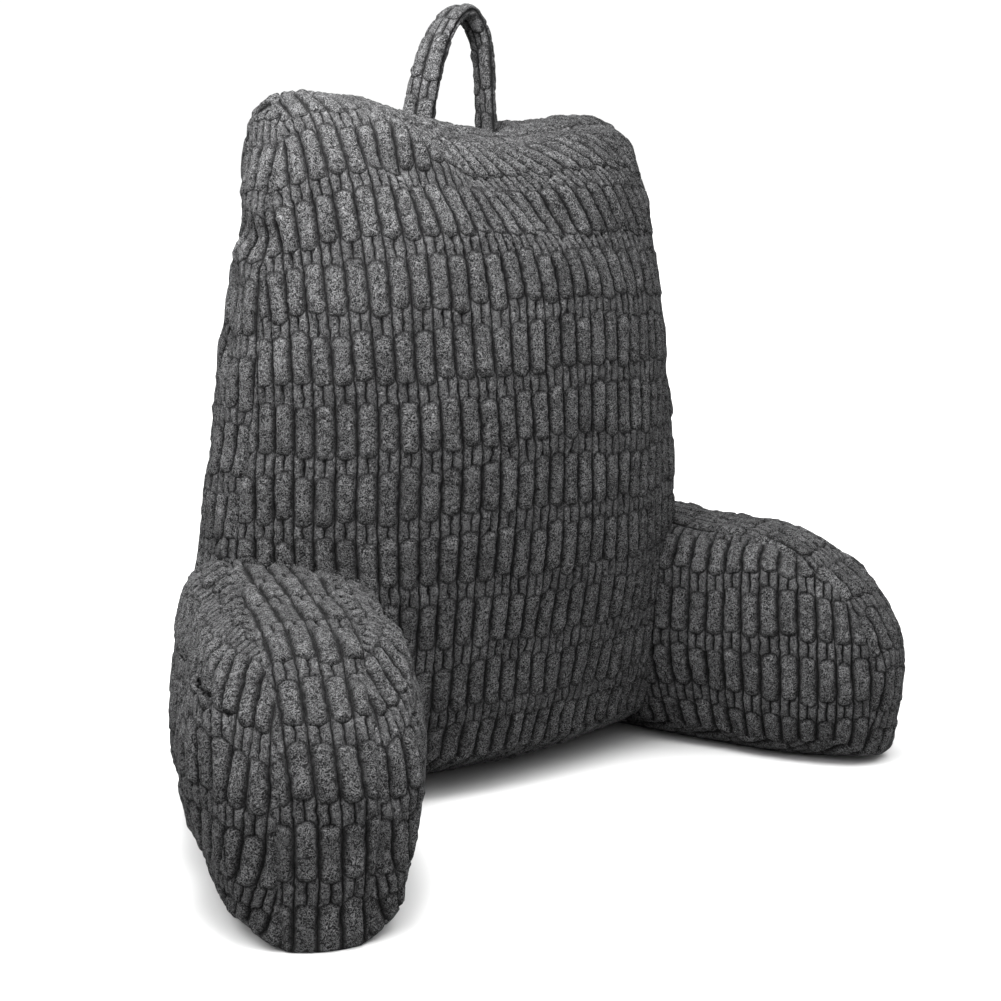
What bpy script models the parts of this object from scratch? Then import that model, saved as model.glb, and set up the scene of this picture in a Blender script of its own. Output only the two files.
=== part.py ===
"""Reading pillow: a stuffed back-rest with two arms, a carry handle and a side pocket.

Metres, +Z up; the front faces -Y. The back-rest and the arms are box grids
blown up into stuffed forms. Their corners are rounded, their fat ribs are
raised in the points, and their undersides are pressed flat on the ground.
"""
import math
from dataclasses import dataclass

import bmesh
import bpy
import numpy as np
from mathutils import Vector

# Cloth: fat ribs side by side, in rows like bricks
RIB_CREST = 0.0022
RIB_VALLEY = 0.0018
BAND_SHARE = 0.45
BAND_DROP = 0.0012
BARE_FOOT = 0.030

# Room between pieces
SEAT_GAP = 0.0003
CLEARANCE = 0.00038
SKIRT_DEPTH = 0.02
WELD_REACH = 0.00005
GROUND_TOUCH = 1e-6
STEP_ASIDE = 1e-4

# Back-rest, measured at the ground, half way up and at the shoulders
BACK_HEIGHT = 0.556
BACK_HALF_WIDTH = (0.242, 0.211, 0.172)
BACK_HALF_DEPTH = (0.128, 0.128, 0.120)
BACK_CENTRE_Y = (0.122, 0.097, 0.099)
BACK_SINK = 0.004
BACK_RIBS_ACROSS = 25
BACK_RIBS_DEEP = 7
BACK_BRICKS_TALL = 10
SEAM_SHARE = 0.765
TOP_DIP = 0.036
TOP_DIP_HALF_WIDTH = 0.113
DIP_STARTS = 0.43
SHOULDER_TILT = 0.010
SHOULDER_DROP = 0.022
SHOULDER_POWER = 8.5
SHOULDER_LIMIT = 1.3

# Arms
ARM_LEAN_HEIGHT = 0.08
ARM_SINK = 0.006
ARM_SEAM_SHARE = 0.5
ARM_RIBS_THICK = 6
ARM_RIBS_LONG = 18
ARM_BRICKS_TALL = 4
STRIP_STEPS_PER_BAND = 3

# Handle strap
STRAP_HALF_WIDTH = 0.015
STRAP_HALF_THICK = 0.0055
STRAP_GROOVE = 0.0017
STRAP_BRICK_RISE = 0.0006
STRAP_SHOULDER_WIDTH = 0.80
STRAP_SHOULDER_HEIGHT = 0.75
STRAP_CREST_WIDTH = 0.47
STRAP_STEPS = 30

# Patch pocket on the outer side of the arm at -X
POCKET_THICK = 0.0025
POCKET_GAPE = 0.0105
POCKET_GAPE_ACROSS = 0.8
POCKET_GAPE_UP = 1.3
POCKET_QUILT = 0.0013
POCKET_COLUMNS = 12
POCKET_ROWS = 12
POCKET_BRICKS = 3
POCKET_BACK_STATION = -0.12
POCKET_FRONT_STATION = -0.98
POCKET_LOW_STATION = -0.60
MOUTH_STATION_BACK = 0.78
MOUTH_STATION_FRONT = 0.92

CHARCOAL = (0.085, 0.085, 0.087, 1.0)


@dataclass(frozen=True)
class Rounding:
    """How far each edge of a blown-up box is rounded, from 0 (sharp) to 1."""

    plan_front: float
    plan_back: float
    outline_top: float
    outline_foot: float
    profile_front_top: float
    profile_front_foot: float
    profile_back_top: float
    profile_back_foot: float


BACK_ROUNDING = Rounding(1.0, 1.0, 0.17, 0.14, 0.79, 0.50, 0.82, 0.50)


@dataclass(frozen=True)
class ArmSizes:
    """One arm about its own middle; side is the sign of its place along X."""

    side: int
    middle_x: float
    middle_y: float
    splay: float
    half_thick: float
    height: float
    reach_front: float
    reach_back: float
    drop: float
    lean: float
    rounding: Rounding


ARM_LEFT = ArmSizes(
    side=-1,
    middle_x=0.250,
    middle_y=-0.068,
    splay=math.radians(23.0),
    half_thick=0.078,
    height=0.199,
    reach_front=0.132,
    reach_back=0.196,
    drop=0.12,
    lean=-0.05,
    rounding=Rounding(0.66, 0.40, 0.50, 0.85, 1.0, 0.10, 0.0, 0.10),
)
ARM_RIGHT = ArmSizes(
    side=1,
    middle_x=0.2447,
    middle_y=-0.0206,
    splay=math.radians(20.5),
    half_thick=0.0763,
    height=0.2035,
    reach_front=0.1265,
    reach_back=0.150,
    drop=0.127,
    lean=-0.094,
    rounding=Rounding(0.84, 0.40, 0.53, 0.91, 1.0, 0.49, 0.0, 0.10),
)


@dataclass(frozen=True)
class StrapStation:
    """One place on the handle's middle line, and the turn of its width there."""

    x: float
    z: float
    turn_deg: float


STRAP = (
    StrapStation(-0.0330, 0.500, 66.0),
    StrapStation(-0.0290, 0.535, 70.0),
    StrapStation(-0.0190, 0.572, 76.0),
    StrapStation(-0.0050, 0.600, 84.0),
    StrapStation(0.0140, 0.6125, 90.0),
    StrapStation(0.0290, 0.596, 96.0),
    StrapStation(0.0345, 0.571, 101.0),
    StrapStation(0.0360, 0.540, 102.0),
    StrapStation(0.0385, 0.500, 98.0),
)
STRAP_Y = 0.096


def blown_box(a, b, c, rounding, seam_share):
    """Map box points a, b, c in -1..1 to a rounded form of the same reach."""
    plan = np.where(b < 0, rounding.plan_front, rounding.plan_back)
    outline = np.where(c > 0, rounding.outline_top, rounding.outline_foot) / 2
    profile_top = np.where(b < 0, rounding.profile_front_top, rounding.profile_back_top)
    profile_foot = np.where(b < 0, rounding.profile_front_foot, rounding.profile_back_foot)
    profile = np.where(c > 0, profile_top, profile_foot) / 2
    plan_x = plan * (1 - seam_share)
    plan_y = plan * seam_share
    aa, bb, cc = a * a, b * b, c * c
    x = a * np.sqrt(1 - plan_x * bb - outline * cc + plan_x * outline * bb * cc * 4 / 3)
    y = b * np.sqrt(1 - plan_y * aa - profile * cc + plan_y * profile * aa * cc * 4 / 3)
    z = c * np.sqrt(1 - outline * aa - profile * bb + outline * profile * aa * bb * 4 / 3)
    return x, y, z


def through_three(t, sizes):
    """Return the smooth value at t in 0..1 through sizes at 0, one half and 1."""
    foot, middle, top = sizes
    return foot * (1 - t) * (1 - 2 * t) + middle * 4 * t * (1 - t) + top * t * (2 * t - 1)


def back_rest_surface(a, b, c):
    """Return the back-rest's smooth surface points at box points a, b, c."""
    x, y, z = blown_box(a, b, c, BACK_ROUNDING, SEAM_SHARE)
    t = (z + 1) / 2
    ground = BACK_SINK / (BACK_HEIGHT + BACK_SINK)
    level = np.maximum(t, ground)
    across = x * through_three(level, BACK_HALF_WIDTH)
    deep = through_three(level, BACK_CENTRE_Y) + y * through_three(level, BACK_HALF_DEPTH)
    upper = np.clip((t - DIP_STARTS) / (1 - DIP_STARTS), 0, 1) ** 2
    dip = TOP_DIP * np.exp(-(across / TOP_DIP_HALF_WIDTH) ** 2)
    outward = across / BACK_HALF_WIDTH[2]
    tilt = SHOULDER_TILT * np.clip(outward, -1, 1)
    drop = SHOULDER_DROP * np.minimum(np.abs(outward), SHOULDER_LIMIT) ** SHOULDER_POWER
    tall = t * (BACK_HEIGHT + BACK_SINK) - BACK_SINK - upper * (dip + tilt + drop)
    return np.stack([across, deep, np.maximum(tall, 0)], -1)


def arm_surface(arm):
    """Return the surface function of an arm."""

    def surface(a, b, c):
        x, y, z = blown_box(a, b, c, arm.rounding, ARM_SEAM_SHARE)
        along = np.where(y < 0, y * arm.reach_front, y * arm.reach_back)
        across = x * arm.half_thick
        t = (z + 1) / 2
        forward = np.clip((arm.reach_front - along) / (2 * arm.reach_front), 0, 1)
        height = arm.height * (1 - arm.drop * forward)
        tall = t * (height + ARM_SINK) - ARM_SINK
        cosine, sine = math.cos(arm.splay), math.sin(arm.splay)
        world_x = arm.middle_x + across * cosine - along * sine
        world_x = world_x + arm.lean * (tall - ARM_LEAN_HEIGHT)
        world_y = arm.middle_y + across * sine + along * cosine
        return np.stack([arm.side * world_x, world_y, np.maximum(tall, 0)], -1)

    return surface


def even_stations(curve, steps):
    """Return steps + 1 values in -1..1 that part the curve into equal lengths."""
    fine = np.linspace(-1, 1, 801)
    length = np.linalg.norm(np.diff(curve(fine), axis=0), axis=1)
    walked = np.concatenate([[0.0], np.cumsum(length)])
    return np.interp(np.linspace(0, walked[-1], steps + 1), walked, fine)


def box_grid(counts):
    """Return the grid numbers of a box's surface points, and its quads facing out."""
    across, deep, tall = counts
    numbers = {}
    quads = []

    def point(i, j, k):
        return numbers.setdefault((i, j, k), len(numbers))

    def panel(place, steps_u, steps_v):
        for u in range(steps_u):
            for v in range(steps_v):
                corners = ((u, v), (u + 1, v), (u + 1, v + 1), (u, v + 1))
                quads.append([point(*place(*corner)) for corner in corners])

    panel(lambda u, v: (u, 0, v), across, tall)
    panel(lambda u, v: (across - u, deep, v), across, tall)
    panel(lambda u, v: (across, u, v), deep, tall)
    panel(lambda u, v: (0, deep - u, v), deep, tall)
    panel(lambda u, v: (u, v, tall), across, deep)
    panel(lambda u, v: (u, deep - v, 0), across, deep)
    return np.array(list(numbers)), quads


def back_rest_ribs(numbers, counts):
    """Return 1 on a rib's crest and 0 in its valley, and 1 on a fat brick's middle."""
    on_side = (numbers[:, 0] == 0) | (numbers[:, 0] == counts[0])
    on_top = numbers[:, 2] == counts[2]
    column = np.where(on_side, numbers[:, 1], numbers[:, 0])
    row = np.where(on_top, numbers[:, 1], numbers[:, 2])
    return column % 2, row % 2


def arm_ribs(numbers, counts):
    """Return the same for an arm: ribs on its seat side and strip, rows on its outer side."""
    on_seat_side = numbers[:, 0] == 0
    on_outer_side = numbers[:, 0] == counts[0]
    on_front = numbers[:, 1] == 0
    column = np.where(on_seat_side, numbers[:, 1], numbers[:, 0]) % 2
    upright = on_seat_side | on_outer_side | on_front
    rows = np.where(upright, numbers[:, 2], numbers[:, 1] // STRIP_STEPS_PER_BAND) % 2
    return np.where(on_outer_side, 1, column), rows


def stuffed_mesh(name, surface, counts, ribs):
    """Build the closed mesh of a stuffed form with its ribs raised."""
    middle = np.zeros
    stations = (
        even_stations(lambda s: surface(s, middle(s.shape) - 1, middle(s.shape)), counts[0]),
        even_stations(lambda s: surface(middle(s.shape) + 1, s, middle(s.shape)), counts[1]),
        even_stations(lambda s: surface(middle(s.shape), middle(s.shape) - 1, s), counts[2]),
    )
    numbers, quads = box_grid(counts)
    box = [stations[axis][numbers[:, axis]] for axis in range(3)]
    points = surface(*box)
    form = bmesh.new()
    verts = [form.verts.new(point) for point in points]
    for quad in quads:
        form.faces.new([verts[index] for index in quad])
    bmesh.ops.recalc_face_normals(form, faces=form.faces)
    form.normal_update()
    crest, brick = ribs(numbers, counts)
    share = BAND_SHARE + (1 - BAND_SHARE) * brick
    raised = np.where(crest == 1, RIB_CREST * share, -RIB_VALLEY)
    raised = raised - BAND_DROP * (1 - brick)
    raised = raised * np.clip(points[:, 2] / BARE_FOOT, 0, 1)
    for vert, push in zip(verts, raised):
        vert.co += vert.normal * float(push)
        vert.co.z = max(vert.co.z, 0.0)
    flat = [face for face in form.faces if max(vert.co.z for vert in face.verts) < GROUND_TOUCH]
    bmesh.ops.dissolve_faces(form, faces=flat, use_verts=True)
    bmesh.ops.triangulate(form, faces=form.faces)
    mesh = bpy.data.meshes.new(name)
    form.to_mesh(mesh)
    form.free()
    return mesh


def clearance_mesh(name, solid):
    """Build the room that a solid keeps free: the solid, grown, with a skirt below it."""
    form = bmesh.new()
    form.from_mesh(solid)
    underside = [face for face in form.faces if face.calc_center_median().z < GROUND_TOUCH]
    skirt = bmesh.ops.extrude_face_region(form, geom=underside)
    lowered = [part for part in skirt["geom"] if isinstance(part, bmesh.types.BMVert)]
    bmesh.ops.translate(form, verts=lowered, vec=Vector((0, 0, -SKIRT_DEPTH)))
    bmesh.ops.delete(form, geom=underside, context="FACES")
    bmesh.ops.recalc_face_normals(form, faces=form.faces)
    form.normal_update()
    for vert in form.verts:
        vert.co += vert.normal * CLEARANCE
    mesh = bpy.data.meshes.new(name)
    form.to_mesh(mesh)
    form.free()
    return mesh


def strap_path(steps):
    """Return the strap's middle points and width directions, on a smooth curve."""
    keys = np.array([[s.x, STRAP_Y, s.z, math.radians(s.turn_deg)] for s in STRAP])
    padded = np.vstack([2 * keys[0] - keys[1], keys, 2 * keys[-1] - keys[-2]])
    where = np.linspace(0, len(keys) - 1, steps + 1)
    cell = np.minimum(where.astype(int), len(keys) - 2)
    t = (where - cell)[:, None]
    before, start, end, after = (padded[cell + shift] for shift in range(4))
    curve = 2 * start + (end - before) * t
    curve += (2 * before - 5 * start + 4 * end - after) * t ** 2
    curve += (3 * start - before - 3 * end + after) * t ** 3
    curve /= 2
    turn = curve[:, 3]
    return curve[:, :3], np.stack([np.cos(turn), -np.sin(turn), 0 * turn], -1)


def strap_section(brick):
    """Return the strap's section: two ribs on each face, fuller on a fat brick."""
    thick = STRAP_HALF_THICK + STRAP_BRICK_RISE * brick
    shoulder = STRAP_SHOULDER_HEIGHT * thick
    groove = STRAP_HALF_THICK - STRAP_GROOVE
    upper = (
        (1.0, 0.0),
        (STRAP_SHOULDER_WIDTH, shoulder),
        (STRAP_CREST_WIDTH, thick),
        (0.0, groove),
        (-STRAP_CREST_WIDTH, thick),
        (-STRAP_SHOULDER_WIDTH, shoulder),
        (-1.0, 0.0),
    )
    lower = [(width, -height) for width, height in reversed(upper[1:-1])]
    return [(width * STRAP_HALF_WIDTH, height) for width, height in (*upper, *lower)]


def handle_mesh(name):
    """Build the carry handle, a flat stuffed strap bent into a loop."""
    middle, width = strap_path(STRAP_STEPS)
    tangent = np.gradient(middle, axis=0)
    tangent /= np.linalg.norm(tangent, axis=1)[:, None]
    width -= tangent * np.sum(width * tangent, axis=1)[:, None]
    width /= np.linalg.norm(width, axis=1)[:, None]
    outward = np.cross(width, tangent)
    form = bmesh.new()
    rings = []
    for step in range(STRAP_STEPS + 1):
        section = strap_section(step % 2)
        ring = [middle[step] + width[step] * w + outward[step] * h for w, h in section]
        rings.append([form.verts.new(point) for point in ring])
    for first, second in zip(rings, rings[1:]):
        for index in range(len(first)):
            after = (index + 1) % len(first)
            form.faces.new((first[index], first[after], second[after], second[index]))
    form.faces.new(rings[0])
    form.faces.new(rings[-1])
    bmesh.ops.recalc_face_normals(form, faces=form.faces)
    mesh = bpy.data.meshes.new(name)
    form.to_mesh(mesh)
    form.free()
    return mesh


def pocket_layers():
    """Return the pocket's inner and outer point grids on the arm's outer side."""
    surface = arm_surface(ARM_LEFT)
    u, v = np.meshgrid(
        np.linspace(0, 1, POCKET_COLUMNS + 1),
        np.linspace(0, 1, POCKET_ROWS + 1),
        indexing="ij",
    )
    b = POCKET_BACK_STATION + u * (POCKET_FRONT_STATION - POCKET_BACK_STATION)
    mouth = MOUTH_STATION_BACK + u * (MOUTH_STATION_FRONT - MOUTH_STATION_BACK)
    c = POCKET_LOW_STATION + v * (mouth - POCKET_LOW_STATION)
    one = np.ones_like(b)
    along = surface(one, b - STEP_ASIDE, c) - surface(one, b + STEP_ASIDE, c)
    upward = surface(one, b, c + STEP_ASIDE) - surface(one, b, c - STEP_ASIDE)
    outward = np.cross(along, upward)
    outward /= np.linalg.norm(outward, axis=-1)[..., None]
    open_across = np.sin(np.pi * u) ** POCKET_GAPE_ACROSS
    open_up = np.sin(np.pi / 2 * v) ** POCKET_GAPE_UP
    gape = POCKET_GAPE * open_across * open_up
    rows = (1 - np.cos(2 * np.pi * v * POCKET_BRICKS)) / 2
    quilt = POCKET_QUILT * rows * np.sin(np.pi * u)
    lift = RIB_CREST + SEAT_GAP + gape
    base = surface(one, b, c)
    inner = base + outward * lift[..., None]
    outer = base + outward * (lift + POCKET_THICK + quilt)[..., None]
    return inner, outer


def pocket_mesh(name):
    """Build the patch pocket, a thin sheet closed at its rim."""
    inner, outer = pocket_layers()
    form = bmesh.new()
    layers = [[[form.verts.new(p) for p in column] for column in layer] for layer in (inner, outer)]
    columns, rows = POCKET_COLUMNS, POCKET_ROWS
    for layer in layers:
        for i in range(columns):
            for j in range(rows):
                corners = (layer[i][j], layer[i + 1][j], layer[i + 1][j + 1], layer[i][j + 1])
                form.faces.new(corners)
    rim = [(i, 0) for i in range(columns)] + [(columns, j) for j in range(rows)]
    rim += [(i, rows) for i in range(columns, 0, -1)] + [(0, j) for j in range(rows, 0, -1)]
    for (i, j), (m, n) in zip(rim, rim[1:] + rim[:1]):
        form.faces.new((layers[0][i][j], layers[0][m][n], layers[1][m][n], layers[1][i][j]))
    bmesh.ops.recalc_face_normals(form, faces=form.faces)
    mesh = bpy.data.meshes.new(name)
    form.to_mesh(mesh)
    form.free()
    return mesh


def plush(name):
    """Return a plain charcoal material of the given name."""
    material = bpy.data.materials.new(name)
    material.use_nodes = True
    shader = material.node_tree.nodes["Principled BSDF"]
    shader.inputs["Base Color"].default_value = CHARCOAL
    shader.inputs["Roughness"].default_value = 0.95
    shader.inputs["Metallic"].default_value = 0.0
    return material


def add_piece(name, mesh, parent, material=None):
    """Put a mesh in the scene as an object of its own under the parent."""
    piece = bpy.data.objects.new(name, mesh)
    bpy.context.scene.collection.objects.link(piece)
    piece.parent = parent
    if material:
        mesh.materials.append(material)
    return piece


def cut_clear(piece, room):
    """Cut a piece back to the room that its neighbour keeps."""
    cut = piece.modifiers.new("seat", "BOOLEAN")
    cut.operation = "DIFFERENCE"
    cut.solver = "EXACT"
    cut.object = room
    weld = piece.modifiers.new("weld", "WELD")
    weld.merge_threshold = WELD_REACH


def place_origin(pillow, pieces):
    """Move the pillow so that its origin lies under the middle of its box."""
    points = np.array([vert.co[:] for piece in pieces for vert in piece.data.vertices])
    middle = (points.min(axis=0) + points.max(axis=0)) / 2
    pillow.location = (-middle[0], -middle[1], 0.0)


def build_pillow():
    """Build every piece of the pillow."""
    for old in list(bpy.data.objects):
        bpy.data.objects.remove(old)
    pillow = bpy.data.objects.new("pillow", None)
    bpy.context.scene.collection.objects.link(pillow)

    back_counts = (2 * BACK_RIBS_ACROSS, 2 * BACK_RIBS_DEEP, 2 * BACK_BRICKS_TALL)
    back_mesh = stuffed_mesh("backrest", back_rest_surface, back_counts, back_rest_ribs)
    room = add_piece("backrest_room", clearance_mesh("room", back_mesh), pillow)
    room.hide_render = True
    room.display_type = "WIRE"
    pieces = [add_piece("backrest", back_mesh, pillow, plush("backrest_plush"))]

    arm_counts = (2 * ARM_RIBS_THICK, 2 * ARM_RIBS_LONG, 2 * ARM_BRICKS_TALL)
    for name, arm in (("arm_left", ARM_LEFT), ("arm_right", ARM_RIGHT)):
        mesh = stuffed_mesh(name, arm_surface(arm), arm_counts, arm_ribs)
        pieces.append(add_piece(name, mesh, pillow, plush(name + "_plush")))
        cut_clear(pieces[-1], room)

    pieces.append(add_piece("handle", handle_mesh("handle"), pillow, plush("handle_plush")))
    cut_clear(pieces[-1], room)
    pieces.append(add_piece("pocket", pocket_mesh("pocket"), pillow, plush("pocket_plush")))
    place_origin(pillow, pieces)


build_pillow()
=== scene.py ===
"""Looks of the reading pillow: plush cloth with brick ribs over its stuffed forms.

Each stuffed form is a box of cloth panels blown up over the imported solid's own
surface, inflated as cloth, and then given its ribs by a Geometry Nodes tree.
Metres, +Z up, the front faces -Y.
"""
import logging
import math
from dataclasses import dataclass, field
from enum import Enum
from typing import Callable, Optional, Sequence, Union

import bmesh
import bpy
import numpy as np
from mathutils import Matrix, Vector
from mathutils.bvhtree import BVHTree
from mathutils.interpolate import poly_3d_calc
from mathutils.kdtree import KDTree


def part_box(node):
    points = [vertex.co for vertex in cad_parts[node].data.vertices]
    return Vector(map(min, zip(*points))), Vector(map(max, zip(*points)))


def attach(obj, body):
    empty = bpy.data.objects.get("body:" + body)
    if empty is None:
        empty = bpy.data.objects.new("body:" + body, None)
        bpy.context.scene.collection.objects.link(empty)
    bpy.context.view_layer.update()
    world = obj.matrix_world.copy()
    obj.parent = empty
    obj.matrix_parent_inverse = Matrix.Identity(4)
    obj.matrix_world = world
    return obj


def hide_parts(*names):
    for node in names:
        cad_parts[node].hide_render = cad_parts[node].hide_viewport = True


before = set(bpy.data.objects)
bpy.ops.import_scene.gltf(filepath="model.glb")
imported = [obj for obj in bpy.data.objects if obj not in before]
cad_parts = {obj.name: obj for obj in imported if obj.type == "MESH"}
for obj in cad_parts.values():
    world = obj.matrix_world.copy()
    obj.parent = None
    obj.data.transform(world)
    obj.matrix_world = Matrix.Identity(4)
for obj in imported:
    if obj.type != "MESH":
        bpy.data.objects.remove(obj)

log = logging.getLogger("pillow")
Socket = bpy.types.NodeSocket
Amount = Union[float, Socket]

BODY = "root"
CLOTH_MAP = "cloth"
SEAM_DISTANCE = "seam_distance"
NO_SEAM_NEAR = 0.1
UNWRAP_ROUNDS = 20
MEASURING_STEPS = 800
WAVE_SPAN = (0.8, 1.8)
ARM_ROOM = 0.0005
STRAP_ROOM = 0.0004


class Side(Enum):
    """The six sides of a box of panels."""

    FRONT = "front"
    BACK = "back"
    RIGHT = "right"
    LEFT = "left"
    TOP = "top"
    UNDERSIDE = "underside"


class Hand(Enum):
    """Which arm it is, as the sign of its place along X."""

    LEFT = -1
    RIGHT = 1


@dataclass(frozen=True)
class Rounding:
    """How far each edge of a blown-up box is rounded, from 0 (sharp) to 1."""

    plan_front: float
    plan_back: float
    outline_top: float
    outline_foot: float
    profile_front_top: float
    profile_front_foot: float
    profile_back_top: float
    profile_back_foot: float


@dataclass(frozen=True)
class PlushCloth:
    """Plush woven with fat ribs, broken into bricks by rows of narrow ribs."""

    rib_width: float = 0.0157
    row_height: float = 0.0513
    brick_height: float = 0.0385
    groove: float = 0.0020
    flank: float = 0.0037
    corner: float = 0.0051
    wobble: float = 0.0030
    narrow_share: float = 0.74
    crest: float = 0.0027
    valley: float = 0.0024
    clump: float = 0.0010
    seam_width: float = 0.0045
    seam_depth: float = 0.0018
    colour: tuple = (0.048, 0.048, 0.049)
    # Painted shade: the near-black colour mixed in down the ribs' flanks and in the grooves
    groove_shade_colour: tuple = (0.0020, 0.0020, 0.0022)
    roughness: float = 0.95
    sheen: float = 0.02
    seed: float = 0.0


@dataclass(frozen=True)
class Fold:
    """A soft fold on a form's surface between two points, or a ridge if its depth is below 0."""

    start: tuple
    end: tuple
    width: float
    depth: float


class NodeSums:
    """Writes arithmetic into a node tree, the same way for geometry and for shading."""

    def __init__(self, tree: bpy.types.NodeTree) -> None:
        """Keep the tree that the nodes go into."""
        self.tree = tree

    def node(self, kind: str) -> bpy.types.Node:
        """Add one node of the given kind."""
        return self.tree.nodes.new(kind)

    def feed(self, socket: Socket, value: Amount) -> None:
        """Link a socket to the value, or set the value on it.

        Args:
            socket: the input socket.
            value: another node's output, or a plain number.
        """
        if isinstance(value, bpy.types.NodeSocket):
            self.tree.links.new(value, socket)
        else:
            socket.default_value = value

    def sum(self, operation: str, *values: Amount, clamp: bool = False) -> Socket:
        """Add one Math node.

        Args:
            operation: its operation, as Blender names it.
            values: what goes into its inputs, in order.
            clamp: whether the result is held within 0 to 1.

        Returns:
            The node's output.
        """
        node = self.node("ShaderNodeMath")
        node.operation = operation
        node.use_clamp = clamp
        for socket, value in zip(node.inputs, values):
            self.feed(socket, value)
        return node.outputs[0]

    def plus(self, one: Amount, other: Amount) -> Socket:
        """Return the sum of two amounts."""
        return self.sum("ADD", one, other)

    def minus(self, one: Amount, other: Amount) -> Socket:
        """Return the first amount less the other."""
        return self.sum("SUBTRACT", one, other)

    def times(self, one: Amount, other: Amount) -> Socket:
        """Return the product of two amounts."""
        return self.sum("MULTIPLY", one, other)

    def over(self, one: Amount, other: Amount, clamp: bool = False) -> Socket:
        """Return the first amount divided by the other, which clamp holds within 0 to 1."""
        return self.sum("DIVIDE", one, other, clamp=clamp)

    def spread(self, chance: Socket, width: Amount) -> Socket:
        """Turn values from 0 to 1 into values about zero, over the given width."""
        return self.times(self.minus(chance, 0.5), width)

    def ramp(self, start: float, rise: float, share: Socket) -> Socket:
        """Return a value that goes from start up by rise as the share goes from 0 to 1."""
        return self.plus(start, self.times(share, rise))

    def rounded(self, share: Socket) -> Socket:
        """Turn a straight rise from 0 to 1 into a quarter circle."""
        left = self.minus(1.0, share)
        return self.sum("SQRT", self.minus(1.0, self.times(left, left)))

    def split(self, vector: Socket) -> Sequence[Socket]:
        """Return a vector's three parts.

        Args:
            vector: the vector's socket.

        Returns:
            The parts x, y and z.
        """
        node = self.node("ShaderNodeSeparateXYZ")
        self.feed(node.inputs[0], vector)
        return node.outputs[:3]

    def joined(self, x: Amount, y: Amount, z: Amount) -> Socket:
        """Return a vector made of three parts.

        Args:
            x: its first part.
            y: its second part.
            z: its third part.

        Returns:
            The vector's socket.
        """
        node = self.node("ShaderNodeCombineXYZ")
        for socket, value in zip(node.inputs, (x, y, z)):
            self.feed(socket, value)
        return node.outputs[0]

    def noise(self, where: Socket, scale: float, detail: float, curl: float = 0.0) -> Socket:
        """Return soft noise from 0 to 1 at a place, with the given cells to the metre.

        Args:
            where: the place.
            scale: the cells to the metre.
            detail: how many finer layers it has.
            curl: how far it is stirred.

        Returns:
            The noise's socket.
        """
        node = self.node("ShaderNodeTexNoise")
        self.feed(node.inputs["Vector"], where)
        node.inputs["Scale"].default_value = scale
        node.inputs["Detail"].default_value = detail
        node.inputs["Distortion"].default_value = curl
        return node.outputs[0]


@dataclass(frozen=True)
class Weaving:
    """How uneven the woven bricks are: lengths in metres, shares, and cells to the metre."""

    wander_cells: float = 150.0
    shift: float = 0.005
    stretch: float = 0.003
    lowest_brick: float = 0.84
    narrow_gap: float = 0.0004
    # beside_brick and beside_width: how far narrow ribs sink next to a brick's end, a crease that the
    # material also darkens as painted shade
    beside_brick: float = 0.12
    beside_width: float = 0.0016
    edge_blur: float = 0.0003


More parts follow.
